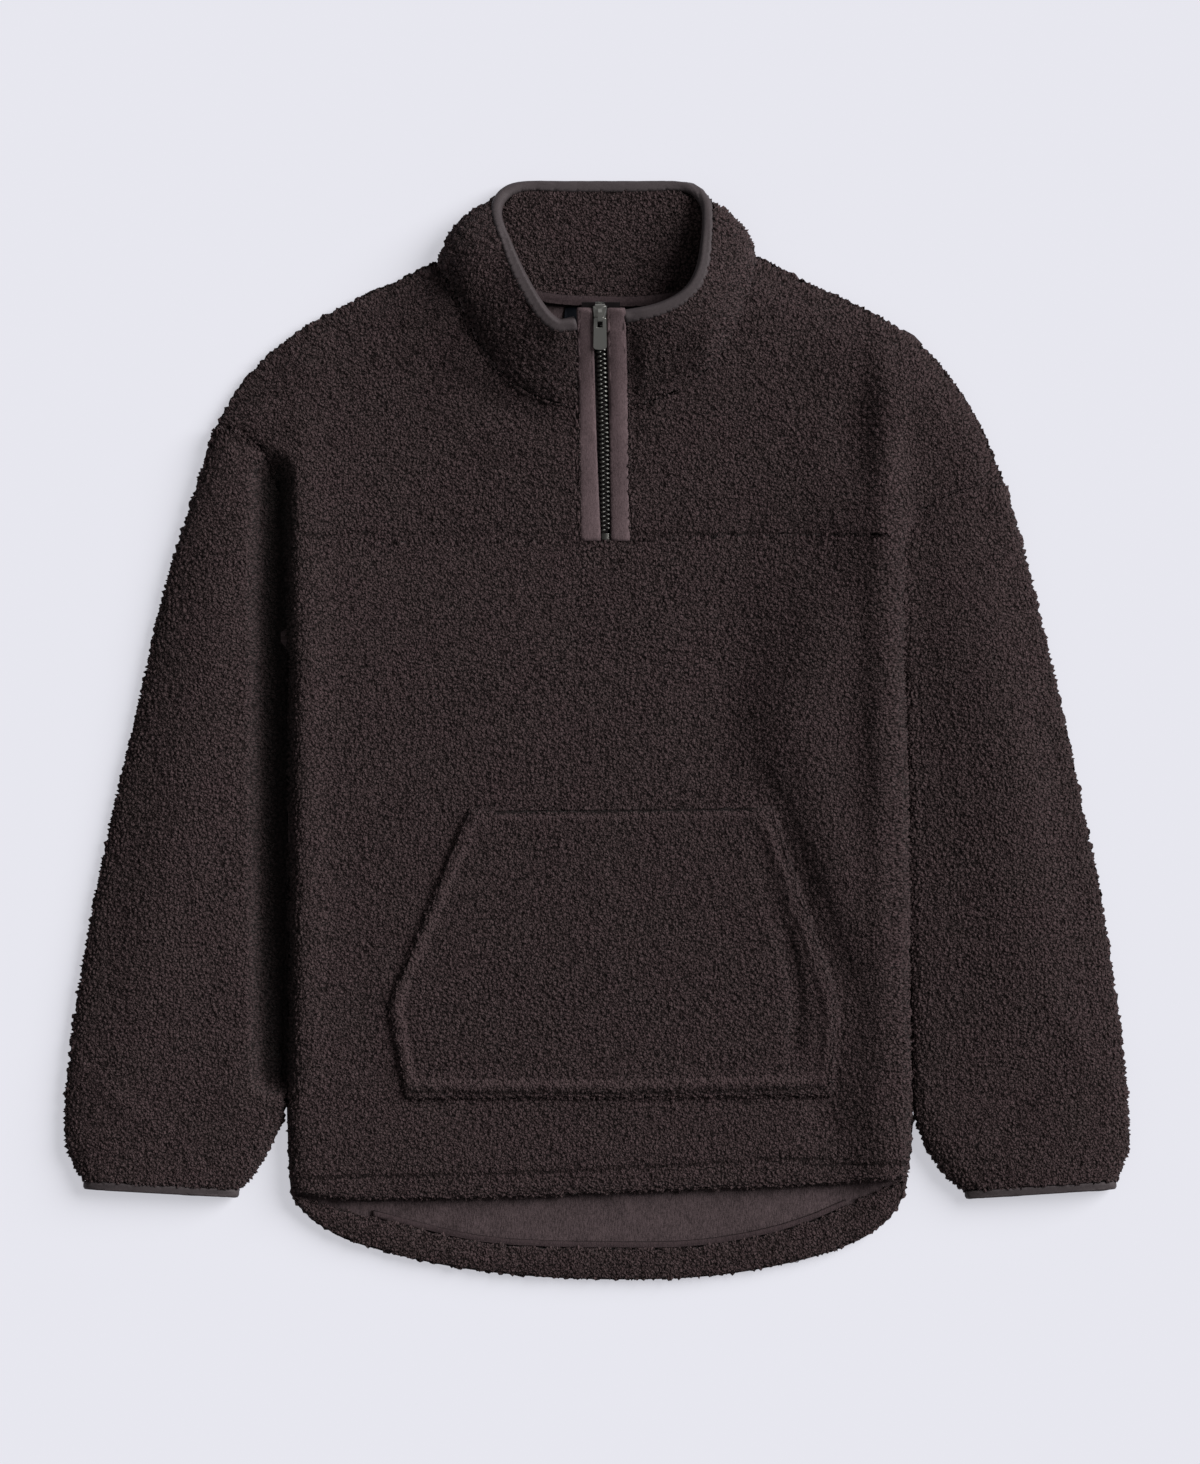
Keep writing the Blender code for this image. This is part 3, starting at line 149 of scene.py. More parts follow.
# ---------------------------------------------------------------- creases
# columns: x, y, length, width, turn in degrees from +X, lift
CREASES = (
    # the long fold down the right of the front, and the troughs at its foot
    (202, 152, 52, 26, 100, 7.0),
    (168, 74, 42, 30, 70, 6.5),
    (148, 4, 50, 33, 90, 9.0),
    (180, -106, 70, 28, 104, 9.5),
    (94, 40, 84, 28, 84, -2.8),
    (178, -300, 52, 20, 102, -4.5),
    # the ridge along the front's right edge, up to the shoulder
    (215, 0, 240, 14, 90, 7.2),
    (217, 206, 56, 12, 90, 5.4),
    (232, 254, 22, 9, 42, 2.4),
    (190, 226, 46, 13, 80, -2.4),
    (236, -40, 240, 7, 91, 1.5),
    # the deep fold between the front and the left sleeve
    (-220, 84, 150, 16, 90, 6.4),
    (-220, -132, 150, 16, 90, 6.0),
    (-263, 214, 17, 5, 165, -2.6),
    (-268, 230, 26, 9, 15, 1.8),
    # around the collar
    (26, 268, 40, 7, 92, -4.0),
    (84, 290, 30, 8, 82, 3.0),
    (54, 274, 26, 12, 50, -2.0),
    (-146, 300, 26, 6, 8, -1.6),
    (-112, 288, 30, 9, 60, -2.4),
    (-100, 335, 40, 14, 72, 5.0),
    (-64, 264, 40, 12, 158, 3.4),
    (-70, 244, 44, 14, 160, -3.4),
    # the chest
    (-70, 10, 66, 34, 84, 1.6),
    (-190, 60, 150, 26, 88, 1.2),
    (40, 150, 70, 16, 20, 0.8),
    (-150, -300, 60, 12, 4, 0.9),
    (60, -306, 80, 11, 176, -0.8),
    # the sleeves
    (334, -276, 36, 8, 39, 2.6),
    (318, -288, 30, 8, 44, -2.2),
    (362, -236, 44, 10, 120, 1.6),
    (316, 10, 110, 20, 100, 1.4),
    (346, -60, 90, 16, 98, -1.4),
    (-352, -280, 34, 8, 140, 1.8),
    (-306, -290, 34, 9, 30, -1.8),
    (-330, -120, 120, 22, 80, 1.4),
    (-290, 90, 80, 18, 72, 1.2),
    (-292, -30, 230, 34, 80, 2.4),
    (-354, -50, 220, 26, 79, -3.6),
    (294, -30, 230, 34, 100, 3.6),
    (356, -50, 220, 26, 101, -5.0),
)
# columns: as above, on the side that lies on the floor
UNDER_CREASES = (
    (-120, 150, 90, 12, 60, 1.6),
    (90, 40, 130, 14, 100, 1.8),
    (-40, -180, 110, 12, 12, 1.4),
    (160, -240, 80, 10, 150, 1.5),
    (-320, -60, 120, 11, 80, 1.6),
    (320, -120, 110, 11, 98, 1.5),
    (-345, -270, 50, 9, 30, 1.2),
    (350, -250, 55, 9, 150, 1.3),
)
# columns: as above; where the pile of two pieces reaches further over their seam
SEAM_FILLS = (
    (108, 320, 34, 10, 110, 1.6),
)
# columns: piece, the way that its cloth is drawn, then the columns above
PULLS = (
    # over the ends of the shoulder seams
    ("left_sleeve", (0, 1, 0), (-286, 219, 13, 10, 0, 6.0)),
    ("right_sleeve", (0, 1, 0), (306, 178, 13, 10, 0, 5.0)),
    ("right_sleeve", (0, 1, 0), (272, 172, 36, 8, 16, 2.2)),
    # down into the deep fold, and under the edge of the front
    ("left_sleeve", (1, 0, 0), (-236, -30, 260, 7, 90, 4.5)),
    ("left_sleeve", (0, 0, -1), (-250, -30, 240, 17, 90, 3.0)),
    # the front's edge over the other sleeve
    ("front_panel", (1, 0, 0), (228, -50, 240, 9, 91, 5.0)),
    ("right_yoke", (1, 0, 0), (228, 100, 120, 9, 91, 3.0)),
    ("right_sleeve", (-1, 0, 0), (234, -50, 240, 6, 91, 2.0)),
    # the collar's seam on the yoke
    ("collar_outside", (0.9, -0.44, 0), (100, 298, 34, 9, 64, 2.6)),
    ("right_yoke", (-0.9, 0.44, 0), (100, 298, 34, 9, 64, 1.4)),
    # the facings roll over the end of the tapes, and one leans towards the zip
    ("left_zip_facing", (0, 1, 0), (0, 306, 60, 9, 0, 3.6)),
    ("right_zip_facing", (0, 1, 0), (0, 306, 60, 9, 0, 3.6)),
    ("right_zip_facing", (0, 0, -1), (10, 220, 100, 8, 90, 1.3)),
)
# columns: width, depth, then the points x, y that a trough in the cloth runs through
TROUGHS = (
    (13.5, 12.0, ((-243, 192), (-244, 90), (-244, -120), (-243, -258))),
    (8.0, 1.3, ((118, -80), (130, -120), (145, -172), (152, -213), (148, -240))),
    (5.0, 1.6, ((142, -150), (151, -200), (148, -236))),
    (11.0, 2.0, ((122, -34), (144, -80), (168, -140), (184, -180))),
    (4.5, -1.5, ((-93, -64), (-148, -196), (-151, -208), (-140, -266))),
    (5.0, -1.7, ((128, -62), (173, -196), (177, -212), (172, -262))),
    (4.5, -1.7, ((-90, -64), (3, -63), (124, -61))),
    (4.0, -1.0, ((-136, -266), (3, -267), (168, -263))),
)
# columns: as above, for rows of stitches, whose grooves are darkened with painted shade
STITCHES = (
    (1.3, 0.6, ((-224, -334), (-147, -333), (-72, -331), (3, -328), (78, -324), (126, -320),
                (176, -321))),
    (1.3, 0.8, ((160, -325), (200, -324), (237, -323))),
    (1.2, 1.3, ((-74, -60.5), (-30, -59), (3, -60), (60, -58.5), (119, -58))),
    (1.2, 0.5, ((-139, -270), (-80, -271), (3, -271), (80, -270), (166, -267))),
    (1.3, 0.25, ((-222, 147), (-120, 148), (-18, 147))),
    (1.3, 0.45, ((18, 147), (130, 148), (222, 145))),
    # along the pocket's edge the pile stands up instead, and is lightened with a painted highlight
    (3.6, -0.45, ((-138, -263), (-148, -206), (-145, -194), (-90, -67), (3, -66), (123, -64),
                  (169, -196), (173, -212), (168, -260), (3, -264), (-138, -263))),
)
# columns: as above, where painted shade darkens the pile, deep in the fold where little light reaches
PAINTED_FOLD_SHADE_LINES = (
    (11.0, 0.48, ((-239, 186), (-240, 90), (-240, -120), (-239, -252))),
    (18.0, 0.28, ((-242, 180), (-243, 90), (-243, -120), (-242, -248))),
)
# columns: as above, where the pile makes the outline of the shoulders
RIMS = (
    (6.0, 1.0, ((-284, 228), (-274, 245), (-262, 262), (-248, 277), (-220, 300), (-190, 317),
                (-160, 332), (-130, 345), (-112, 352))),
    (6.0, 1.0, ((116, 355), (160, 334), (190, 320), (220, 303), (250, 279), (262, 265),
                (282, 236), (292, 215), (304, 187))),
)

# ---------------------------------------------------------------- surfaces
def corners_of(mesh):
    """Point numbers of a triangle mesh, and the normal at each corner."""
    faces = np.empty(len(mesh.loops), int)
    mesh.loops.foreach_get("vertex_index", faces)
    normals = np.empty(len(mesh.loops) * 3)
    mesh.corner_normals.foreach_get("vector", normals)
    return faces.reshape(-1, 3), normals.reshape(-1, 3)


def points_of(mesh):
    points = np.empty(len(mesh.vertices) * 3)
    mesh.vertices.foreach_get("co", points)
    return points.reshape(-1, 3) / MM


def node_surface(name):
    """A solid's points and triangles."""
    bm = bmesh.new()
    bm.from_mesh(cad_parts[name].data)
    bmesh.ops.remove_doubles(bm, verts=bm.verts[:], dist=WELD)
    bmesh.ops.triangulate(bm, faces=bm.faces[:])
    mesh = bpy.data.meshes.new("solid")
    bm.to_mesh(mesh)
    bm.free()
    points, faces = points_of(mesh), corners_of(mesh)[0]
    bpy.data.meshes.remove(mesh)
    return points, faces


def surface_normals(points, faces):
    """The different normals of a surface's corners, which change across its sharp edges, and
    the number of the one at each corner."""
    mesh = mesh_of("normals", points, faces)
    mesh.set_sharp_from_angle(angle=SHARP_EDGE)
    normals = corners_of(mesh)[1]
    bpy.data.meshes.remove(mesh)
    rows = np.round(np.column_stack((faces.ravel(), normals)), 3)
    kept, number = np.unique(rows, axis=0, return_inverse=True)
    return unit(kept[:, 1:]), number.reshape(-1, 3)


def unit(vectors):
    length = np.linalg.norm(vectors, axis=-1, keepdims=True)
    return vectors / np.maximum(length, TINY)


def dot(a, b):
    return (a * b).sum(-1, keepdims=True)


def edge_numbers(faces):
    """The triangles' edges: one number for each corner, and the first corner that has it."""
    following = np.roll(faces, -1, axis=1)
    low, high = np.minimum(faces, following).ravel(), np.maximum(faces, following).ravel()
    _, first, number = np.unique(low * (faces.max() + 1) + high, return_index=True, return_inverse=True)
    return first, number.reshape(-1)


def crease_middles(points, a, b):
    """Middles of the outline's edges, on smooth curves through the outline's points."""
    if len(a) == 0:
        return np.empty((0, 3))
    source, target = np.concatenate((a, b)), np.concatenate((b, a))
    order = np.argsort(source, kind="stable")
    source, target = source[order], target[order]
    count = np.bincount(source, minlength=len(points))
    start = np.cumsum(count) - count
    two = count == 2
    first = np.where(two, target[np.minimum(start, len(target) - 1)], -1)
    second = np.where(two, target[np.minimum(start + 1, len(target) - 1)], -1)

    def tangent(here, there):
        beyond = np.where(first[here] == there, second[here], first[here])
        ahead = unit(points[there] - points[here])
        behind = unit(points[here] - points[beyond])
        smooth = (beyond >= 0)[:, None] & (dot(ahead, behind) > math.cos(CORNER_TURN))
        return np.where(smooth, unit(points[there] - points[beyond]), ahead)

    length = np.linalg.norm(points[b] - points[a], axis=1)[:, None]
    return (points[a] + points[b]) / 2 + (tangent(a, b) + tangent(b, a)) * length / 8


def split_faces(faces, middles, points):
    """Cuts triangles at their edges' middles, -1 where an edge is whole. Gives the new corners
    as places in a row of six, the three corners and then the three middles, and their parents."""
    whole = np.arange(len(faces))
    count = (middles >= 0).sum(1)
    parts = [(whole[count == 0], np.array([[0, 1, 2]]))]
    parts.append((whole[count == 3], np.array([[0, 3, 5], [3, 1, 4], [5, 4, 2], [3, 4, 5]])))
    for turn in range(3):
        a, b, c = turn, (turn + 1) % 3, (turn + 2) % 3
        only = whole[(count == 1) & (middles[:, a] >= 0)]
        parts.append((only, np.array([[a, a + 3, c], [a + 3, b, c]])))
        two = whole[(count == 2) & (middles[:, c] < 0)]
        to_far = np.linalg.norm(points[faces[two, a]] - points[middles[two, b]], axis=1)
        to_near = np.linalg.norm(points[middles[two, a]] - points[faces[two, c]], axis=1)
        tip = [a + 3, b, b + 3]
        parts.append((two[to_far < to_near], np.array([tip, [a, a + 3, b + 3], [a, b + 3, c]])))
        parts.append((two[to_far >= to_near], np.array([tip, [a, a + 3, c], [a + 3, b + 3, c]])))
    parents = np.concatenate([np.repeat(which, len(shape)) for which, shape in parts])
    corners = np.vstack([np.tile(shape, (len(which), 1)) for which, shape in parts])
    return parents, corners


def refine(points, faces, normals, corner_normals, limits):
    """Cuts every edge down to its faces' limit. New points lie on the curved surface that the
    normals describe, so a coarse solid gives a smooth form."""
    while True:
        first, edge = edge_numbers(faces)
        normal_first, normal_edge = edge_numbers(corner_normals)
        sides = np.bincount(edge[normal_first], minlength=len(first))
        flat_a = faces.ravel()
        flat_b = np.roll(faces, -1, axis=1).ravel()
        a, b = flat_a[first], flat_b[first]
        limit = np.full(len(first), np.inf)
        np.minimum.at(limit, edge, np.repeat(limits, 3))
        length = np.linalg.norm(points[b] - points[a], axis=1)
        cut = length > limit
        if not cut.any():
            return points, faces, normals, corner_normals, limits

        na = normals[corner_normals.ravel()[normal_first]]
        nb = normals[np.roll(corner_normals, -1, axis=1).ravel()[normal_first]]
        pa, pb = points[flat_a[normal_first]], points[flat_b[normal_first]]
        step = pb - pa
        bend = np.clip(2 - length[edge[normal_first]] / EDGE_STRAIGHT, 0, 1)[:, None]
        bend = bend * (limit < EDGE_HIDDEN)[edge[normal_first]][:, None]
        curved = (pa + pb) / 2 - (dot(step, na) * na - dot(step, nb) * nb) * bend / 8
        between = unit(na + nb - 2 * dot(step, na + nb) / np.maximum(dot(step, step), TINY) * step)
        middle_normals = unit(na + nb + 2 * between)
        middles = np.empty((len(first), 3))
        middles[edge[normal_first]] = curved
        outline = sides > 1
        middles[outline] = crease_middles(points, a[outline], b[outline])

        number = np.full(len(first), -1)
        number[cut] = len(points) + np.arange(cut.sum())
        normal_cut = cut[edge[normal_first]]
        normal_number = np.full(len(normal_first), -1)
        normal_number[normal_cut] = len(normals) + np.arange(normal_cut.sum())
        points = np.vstack((points, middles[cut]))
        normals = np.vstack((normals, middle_normals[normal_cut]))
        face_middles = number[edge].reshape(-1, 3)
        parents, corners = split_faces(faces, face_middles, points)
        rows = np.arange(len(parents))[:, None]
        faces = np.hstack((faces, face_middles))[parents][rows, corners]
        all_normals = np.hstack((corner_normals, normal_number[normal_edge].reshape(-1, 3)))
        corner_normals = all_normals[parents][rows, corners]
        limits = limits[parents]


def face_normals(points, faces):
    a, b, c = (points[faces[:, k]] for k in range(3))
    return np.cross(b - a, c - a)


def neighbours(points, faces):
    """The two ends of every edge, once in each direction."""
    first, _ = edge_numbers(faces)
    a, b = faces.ravel()[first], np.roll(faces, -1, axis=1).ravel()[first]
    return np.concatenate((a, b)), np.concatenate((b, a))


def even_out(points, faces, normals, corner_normals):
    """Smooths the heights of level cloth, and keeps its edges and its rolled sides."""
    ends = neighbours(points, faces)
    count = np.bincount(ends[0], minlength=len(points))
    pairs = np.unique(np.column_stack((faces.ravel(), corner_normals.ravel())), axis=0)
    single = np.bincount(pairs[:, 0], minlength=len(points)) == 1
    upright = np.zeros(len(points))
    upright[pairs[:, 0]] = np.abs(normals[pairs[:, 1], 2])
    share = np.clip((upright - LEVEL_FROM) / LEVEL_OVER, 0, 1) * single
    at_point = np.zeros_like(points)
    at_point[pairs[:, 0]] = normals[pairs[:, 1]]
    slope = at_point[:, :2] / np.where(np.abs(at_point[:, 2:]) < LEVEL_LEAST, 1, at_point[:, 2:])
    points = points.copy()
    for _ in range(EVEN_PASSES):
        sums = [np.bincount(ends[0], points[ends[1], k], len(points)) for k in range(3)]
        aim = np.column_stack(sums) / np.maximum(count, 1)[:, None] - points
        points[:, 2] += EVEN_STEP * share * (aim[:, 2] + (slope * aim[:, :2]).sum(1))
    return points


def rounded_off(points, faces, passes, swell):
    """Evens out the heights of a strip, which rounds its edges, and swells it."""
    ends = neighbours(points, faces)
    count = np.maximum(np.bincount(ends[0], minlength=len(points)), 1)
    points = points.copy()
    for _ in range(passes):
        aim = np.bincount(ends[0], points[ends[1], 2], len(points)) / count
        points[:, 2] += ROUND_STEP * (aim - points[:, 2])
    normals = face_normals(points, faces)
    outward = np.zeros_like(points)
    for k in range(3):
        np.add.at(outward, faces[:, k], normals)
    return points + unit(outward) * swell


def solid_tree(names):
    """Solids in one tree, which tells what lies against what."""
    points, faces = [], []
    for name in names:
        node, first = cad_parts[name], len(points)
        points.extend(vertex.co for vertex in node.data.vertices)
        faces.extend([first + index for index in face.vertices] for face in node.data.polygons)
    return BVHTree.FromPolygons(points, faces)


def meets(tree, start, way, reach):
    """Whether a face that looks at the start lies within reach, along a way out of a surface."""
    while reach > 0:
        place, normal, _, distance = tree.ray_cast(start, way, reach)
        if place is None or normal.dot(way) < 0:
            return place is not None
        start = place + way * WELD
        reach -= distance + WELD
    return False


def covered(name, points, faces):
    """Whether each face lies against another layer, inside it or inside its own hollow."""
    own, others = solid_tree([name]), solid_tree(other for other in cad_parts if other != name)
    ways = unit(face_normals(points, faces))
    reach = np.where(ways[:, 2] < -SIDEWAYS, COVER_REACH_DOWN,
                     np.where(ways[:, 2] > LEVEL_FROM, COVER_REACH_UP, COVER_REACH)) * MM
    corners = points[faces]
    centres = corners.mean(1)
    near_corners = (corners[:, k] * COVER_CORNER + centres * (1 - COVER_CORNER) for k in range(3))
    hidden = np.ones(len(faces), bool)
    for place in (centres, *near_corners):
        for k in np.flatnonzero(hidden):
            start, way = Vector((place[k] + ways[k] * COVER_START) * MM), Vector(ways[k])
            _, normal, _, distance = others.ray_cast(start, way)
            against = normal is not None and (normal.dot(way) > 0 or distance < reach[k])
            hidden[k] = against or meets(own, start, way, reach[k])
    return hidden


def relief(points, folds):
    """Height that the table's ridges and troughs add at each point."""
    total = np.zeros(len(points))
    for x, y, length, width, turn, lift in folds:
        angle = math.radians(turn)
        dx, dy = points[:, 0] - x, points[:, 1] - y
        along = dx * math.cos(angle) + dy * math.sin(angle)
        beside = dy * math.cos(angle) - dx * math.sin(angle)
        total += lift * np.exp(-(along / length) ** 2 - (beside / width) ** 2)
    return total


def along_lines(points, lines):
    """Depth that the table's lines have at each point."""
    depth = np.zeros(len(points))
    for width, deep, route in lines:
        nearest = np.full(len(points), np.inf)
        for (ax, ay), (bx, by) in zip(route, route[1:]):
            step = np.array((bx - ax, by - ay))
            share = np.clip(((points[:, :2] - (ax, ay)) @ step) / (step @ step), 0, 1)
            away = points[:, :2] - (ax, ay) - share[:, None] * step
            nearest = np.minimum(nearest, (away ** 2).sum(1))
        depth += deep * np.exp(-(nearest / width ** 2) ** 2)
    return depth


def cloth_surface(name, edge_shown, keep=None):
    """A node's refined surface: points, faces, the way out at each point, the way over the seam
    beside it, and its share of pile."""
    points, faces = node_surface(name)
    points, faces, _, _, _ = refine(points, faces, *surface_normals(points, faces),
                                    np.full(len(faces), EDGE_FIRST))
    normals, corner_normals = surface_normals(points, faces)
    points = even_out(points, faces, normals, corner_normals)
    normals, corner_normals = surface_normals(points, faces)
    hidden = covered(name, points, faces)
    ways = unit(face_normals(points, faces))
    rim = along_lines(points, RIMS)[faces].max(1) > RIM_NEAR
    under = ~hidden & ~rim & (ways[:, 2] < UNDER_WAY) & (points[faces][..., 2].min(1) < UNDER_BELOW)
    limits = np.where(hidden, EDGE_HIDDEN, np.where(under, EDGE_UNDER, edge_shown))
    if keep is not None:
        kept = keep(points[faces].mean(1), ways, hidden)
        faces, corner_normals, limits = faces[kept], corner_normals[kept], limits[kept]
    points, faces, _, _, limits = refine(points, faces, normals, corner_normals, limits)
    used, numbers = np.unique(faces, return_inverse=True)
    points, faces = points[used], numbers.reshape(-1, 3)
    shown = limits < EDGE_HIDDEN
    normals = face_normals(points, faces)
    way, side = np.zeros_like(points), np.zeros_like(points)
    pile = np.zeros(len(points))
    for k in range(3):
        np.add.at(way, faces[shown, k], normals[shown])
        np.add.at(side, faces[~shown, k], normals[~shown])
        np.maximum.at(pile, faces[shown, k], np.where(limits[shown] < EDGE_UNDER, 1.0, UNDER_PILE))
    side = unit(side) * (np.linalg.norm(side, axis=1) > 0)[:, None] * (pile > 0)[:, None]
    return points, faces, unit(way), side, pile


def settle(points):
    """Moves points with the creases of the layers that they belong to."""
    share = np.clip((points[:, 2] - LIFT_FROM) / (LIFT_TO - LIFT_FROM), 0, 1)
    moved = points.copy()
    lift = relief(points, CREASES) - along_lines(points, TROUGHS)
    moved[:, 2] += lift * share * share * (3 - 2 * share)
    moved[:, 2] = np.maximum(moved[:, 2], np.minimum(points[:, 2], LOWEST))
    moved[:, 2] += relief(points, UNDER_CREASES) * np.clip(1 - points[:, 2] / UNDER_TO, 0, 1)
    return moved


def drawn(name, points, laid):
    """Draws a piece's cloth along the table's pulls."""
    for piece, way, pull in PULLS:
        if piece == name:
            laid += relief(points, (pull,))[:, None] * way
    return laid


def drawn_in(points, faces):
    """Moves the open rim of the body's inside under the pile around it, but not at neck and hem."""
    first, edge = edge_numbers(faces)
    rim = first[np.bincount(edge) == 1]
    a, b = faces.ravel()[rim], np.roll(faces, -1, axis=1).ravel()[rim]
    step = points[b] - points[a]
    across = unit(np.column_stack((-step[:, 1], step[:, 0], np.zeros(len(step)))))
    inward = np.zeros_like(points)
    np.add.at(inward, a, across)
    np.add.at(inward, b, across)
    past_neck = (np.abs(points[:, 0]) > NECK_HALF + RIM_MARGIN[0]) | (points[:, 1] < NECK_FROM)
    past_hem = points[:, 1] > HEM_BELOW + RIM_MARGIN[1]
    return points + unit(inward) * (RIM_INSET * (past_neck & past_hem))[:, None]


# ---------------------------------------------------------------- meshes
def mesh_of(name, points, faces):
    """A smooth-shaded mesh from points in millimetres and triangles."""
    mesh = bpy.data.meshes.new(name)
    mesh.vertices.add(len(points))
    mesh.vertices.foreach_set("co", (points * MM).astype(np.float32).ravel())
    mesh.loops.add(faces.size)
    mesh.loops.foreach_set("vertex_index", faces.ravel().astype(np.int32))
    mesh.polygons.add(len(faces))
    mesh.polygons.foreach_set("loop_start", np.arange(0, faces.size, 3, dtype=np.int32))
    mesh.update(calc_edges=True)
    mesh.shade_smooth()
    return mesh


def place_mesh(name, mesh, finish, slot, body, *nodes):
    """Puts a mesh into the scene in place of its solids."""
    made = bpy.data.objects.new(name, mesh)
    bpy.context.scene.collection.objects.link(made)
    made.data.materials.clear()
    made.data.materials.append(finish)
    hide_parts(*nodes)
    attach(made, body)
    return made


def mark(mesh, name, values):
    """Stores a number or a vector at each of a mesh's points."""
    vector = values.ndim == 2
    made = mesh.attributes.new(name, "FLOAT_VECTOR" if vector else "FLOAT", "POINT")
    made.data.foreach_set("vector" if vector else "value", values.astype(np.float32).ravel())


# ---------------------------------------------------------------- node expressions
class Value:
    """A node's output that writes Math nodes when it is used in an expression."""

    def __init__(self, nodes, socket):
        self.nodes, self.socket = nodes, socket

    def math(self, operation, *others):
        inputs = dict(enumerate((self, *others)))
        return self.nodes.add("ShaderNodeMath", {"operation": operation}, inputs)

    def __add__(self, other):
        return self.math("ADD", other)

    def __sub__(self, other):
        return self.math("SUBTRACT", other)

    def __mul__(self, other):
        return self.math("MULTIPLY", other)

    def __rsub__(self, other):
        return self.nodes.add("ShaderNodeMath", {"operation": "SUBTRACT"}, {0: other, 1: self})

    __radd__, __rmul__ = __add__, __mul__

    def between(self, low, high):
        """0 below low, 1 above high, and smooth between them."""
        inputs = {"Value": self, "From Min": low, "From Max": high}
        return self.nodes.add("ShaderNodeMapRange", {"interpolation_type": "SMOOTHSTEP"}, inputs)

    def clamp(self):
        settings = {"operation": "ADD", "use_clamp": True}
        return self.nodes.add("ShaderNodeMath", settings, {0: self, 1: 0.0})


class Nodes:
    """Writes the nodes of one material or of one geometry tree."""

    def __init__(self, tree):
        self.tree = tree

    def add(self, kind, settings=None, inputs=None, output=0):
        node = self.tree.nodes.new(kind)
        for name, value in (settings or {}).items():
            setattr(node, name, value)
        for name, value in (inputs or {}).items():
            self.feed(node.inputs[name], value)
        return Value(self, node.outputs[output])

    def feed(self, socket, value):
        if isinstance(value, Value):
            self.tree.links.new(value.socket, socket)
        else:
            socket.default_value = value

    def vector(self, operation, a, b):
        key = "Scale" if operation == "SCALE" else 1
        return self.add("ShaderNodeVectorMath", {"operation": operation}, {0: a, key: b})

    def blend(self, share, a, b):
        """A colour between two, by share."""
        return self.add("ShaderNodeMix", {"data_type": "RGBA"}, {0: share, 6: a, 7: b}, output=2)

    def noise(self, place, size, detail=2.0, output=0, roughness=0.5):
        inputs = {"Vector": place, "Scale": 1 / size, "Detail": detail, "Roughness": roughness}
        return self.add("ShaderNodeTexNoise", None, inputs, output)

    def cells(self, place, size, feature="F1"):
        inputs = {"Vector": place, "Scale": 1 / size}
        return self.add("ShaderNodeTexVoronoi", {"feature": feature}, inputs, output="Distance")


def curls(nodes, place):
    """Heights of the tufts and of the curls in them from 0 to 1, at a place in millimetres."""
    bend = nodes.vector("SUBTRACT", nodes.noise(place, CURL_BEND, output="Color"), (0.5, 0.5, 0.5))
    bent = nodes.vector("ADD", place, nodes.vector("SCALE", bend, CURL_SWAY))
    tuft = nodes.cells(bent, CURL, feature="DISTANCE_TO_EDGE")
    curl = nodes.cells(bent, CURL_SMALL)
    return tuft.between(*TUFT_SLOPE), (1 - curl * curl * CURL_FALL).clamp()


def raise_pile(made):
    """Moves a mesh's points along their way by the height of the curls."""
    tree = bpy.data.node_groups.new("pile", "GeometryNodeTree")
    for side in ("INPUT", "OUTPUT"):
        tree.interface.new_socket("Geometry", in_out=side, socket_type="NodeSocketGeometry")
    nodes = Nodes(tree)
    place, way, pile, stitch = (
        nodes.add("GeometryNodeInputNamedAttribute", {"data_type": kind}, {"Name": title})
        for title, kind in (("place", "FLOAT_VECTOR"), ("way", "FLOAT_VECTOR"), ("pile", "FLOAT"),
                            ("stitch", "FLOAT")))
    tuft, curl = curls(nodes, place)
    height = tuft * TUFT_SHARE + curl * (1 - TUFT_SHARE) - PILE_BELOW
    lift = (height * (CURL_DEPTH * MM) - stitch * MM) * pile
    cloth = nodes.add("NodeGroupInput")
    moved = nodes.add("GeometryNodeSetPosition", None,
                      {"Geometry": cloth, "Offset": nodes.vector("SCALE", way, lift)})
    output = tree.nodes.new("NodeGroupOutput")
    nodes.feed(output.inputs[0], moved)
    modifier = made.modifiers.new("pile", "NODES")
    modifier.node_group = tree
    depsgraph = bpy.context.evaluated_depsgraph_get()
    mesh = bpy.data.meshes.new_from_object(made.evaluated_get(depsgraph))
    made.modifiers.clear()
    made.data = mesh
    bpy.data.node_groups.remove(tree)
    points = points_of(mesh)
    points[:, 2] = np.maximum(points[:, 2], FLOOR_GAP)
    mesh.vertices.foreach_set("co", (points * MM).astype(np.float32).ravel())
    mesh.update()


# ---------------------------------------------------------------- materials
def principled(name, **uniform):
    """A material, its node writer and its shader, with the values that are the same all over."""
    made = bpy.data.materials.new(name)
    made.use_nodes = True
    nodes = Nodes(made.node_tree)
    shader = made.node_tree.nodes["Principled BSDF"]
    for socket, value in uniform.items():
        shader.inputs[socket.replace("_", " ")].default_value = value
    return made, nodes, shader


def attribute(nodes, name, output="Vector"):
    return nodes.add("ShaderNodeAttribute", {"attribute_name": name}, None, output)


def bump(nodes, shader, height, depth):
    """A raised surface finer than the mesh; depth in millimetres."""
    made = nodes.add("ShaderNodeBump", None, {"Height": height, "Distance": depth * MM}, "Normal")
    nodes.feed(shader.inputs["Normal"], made)


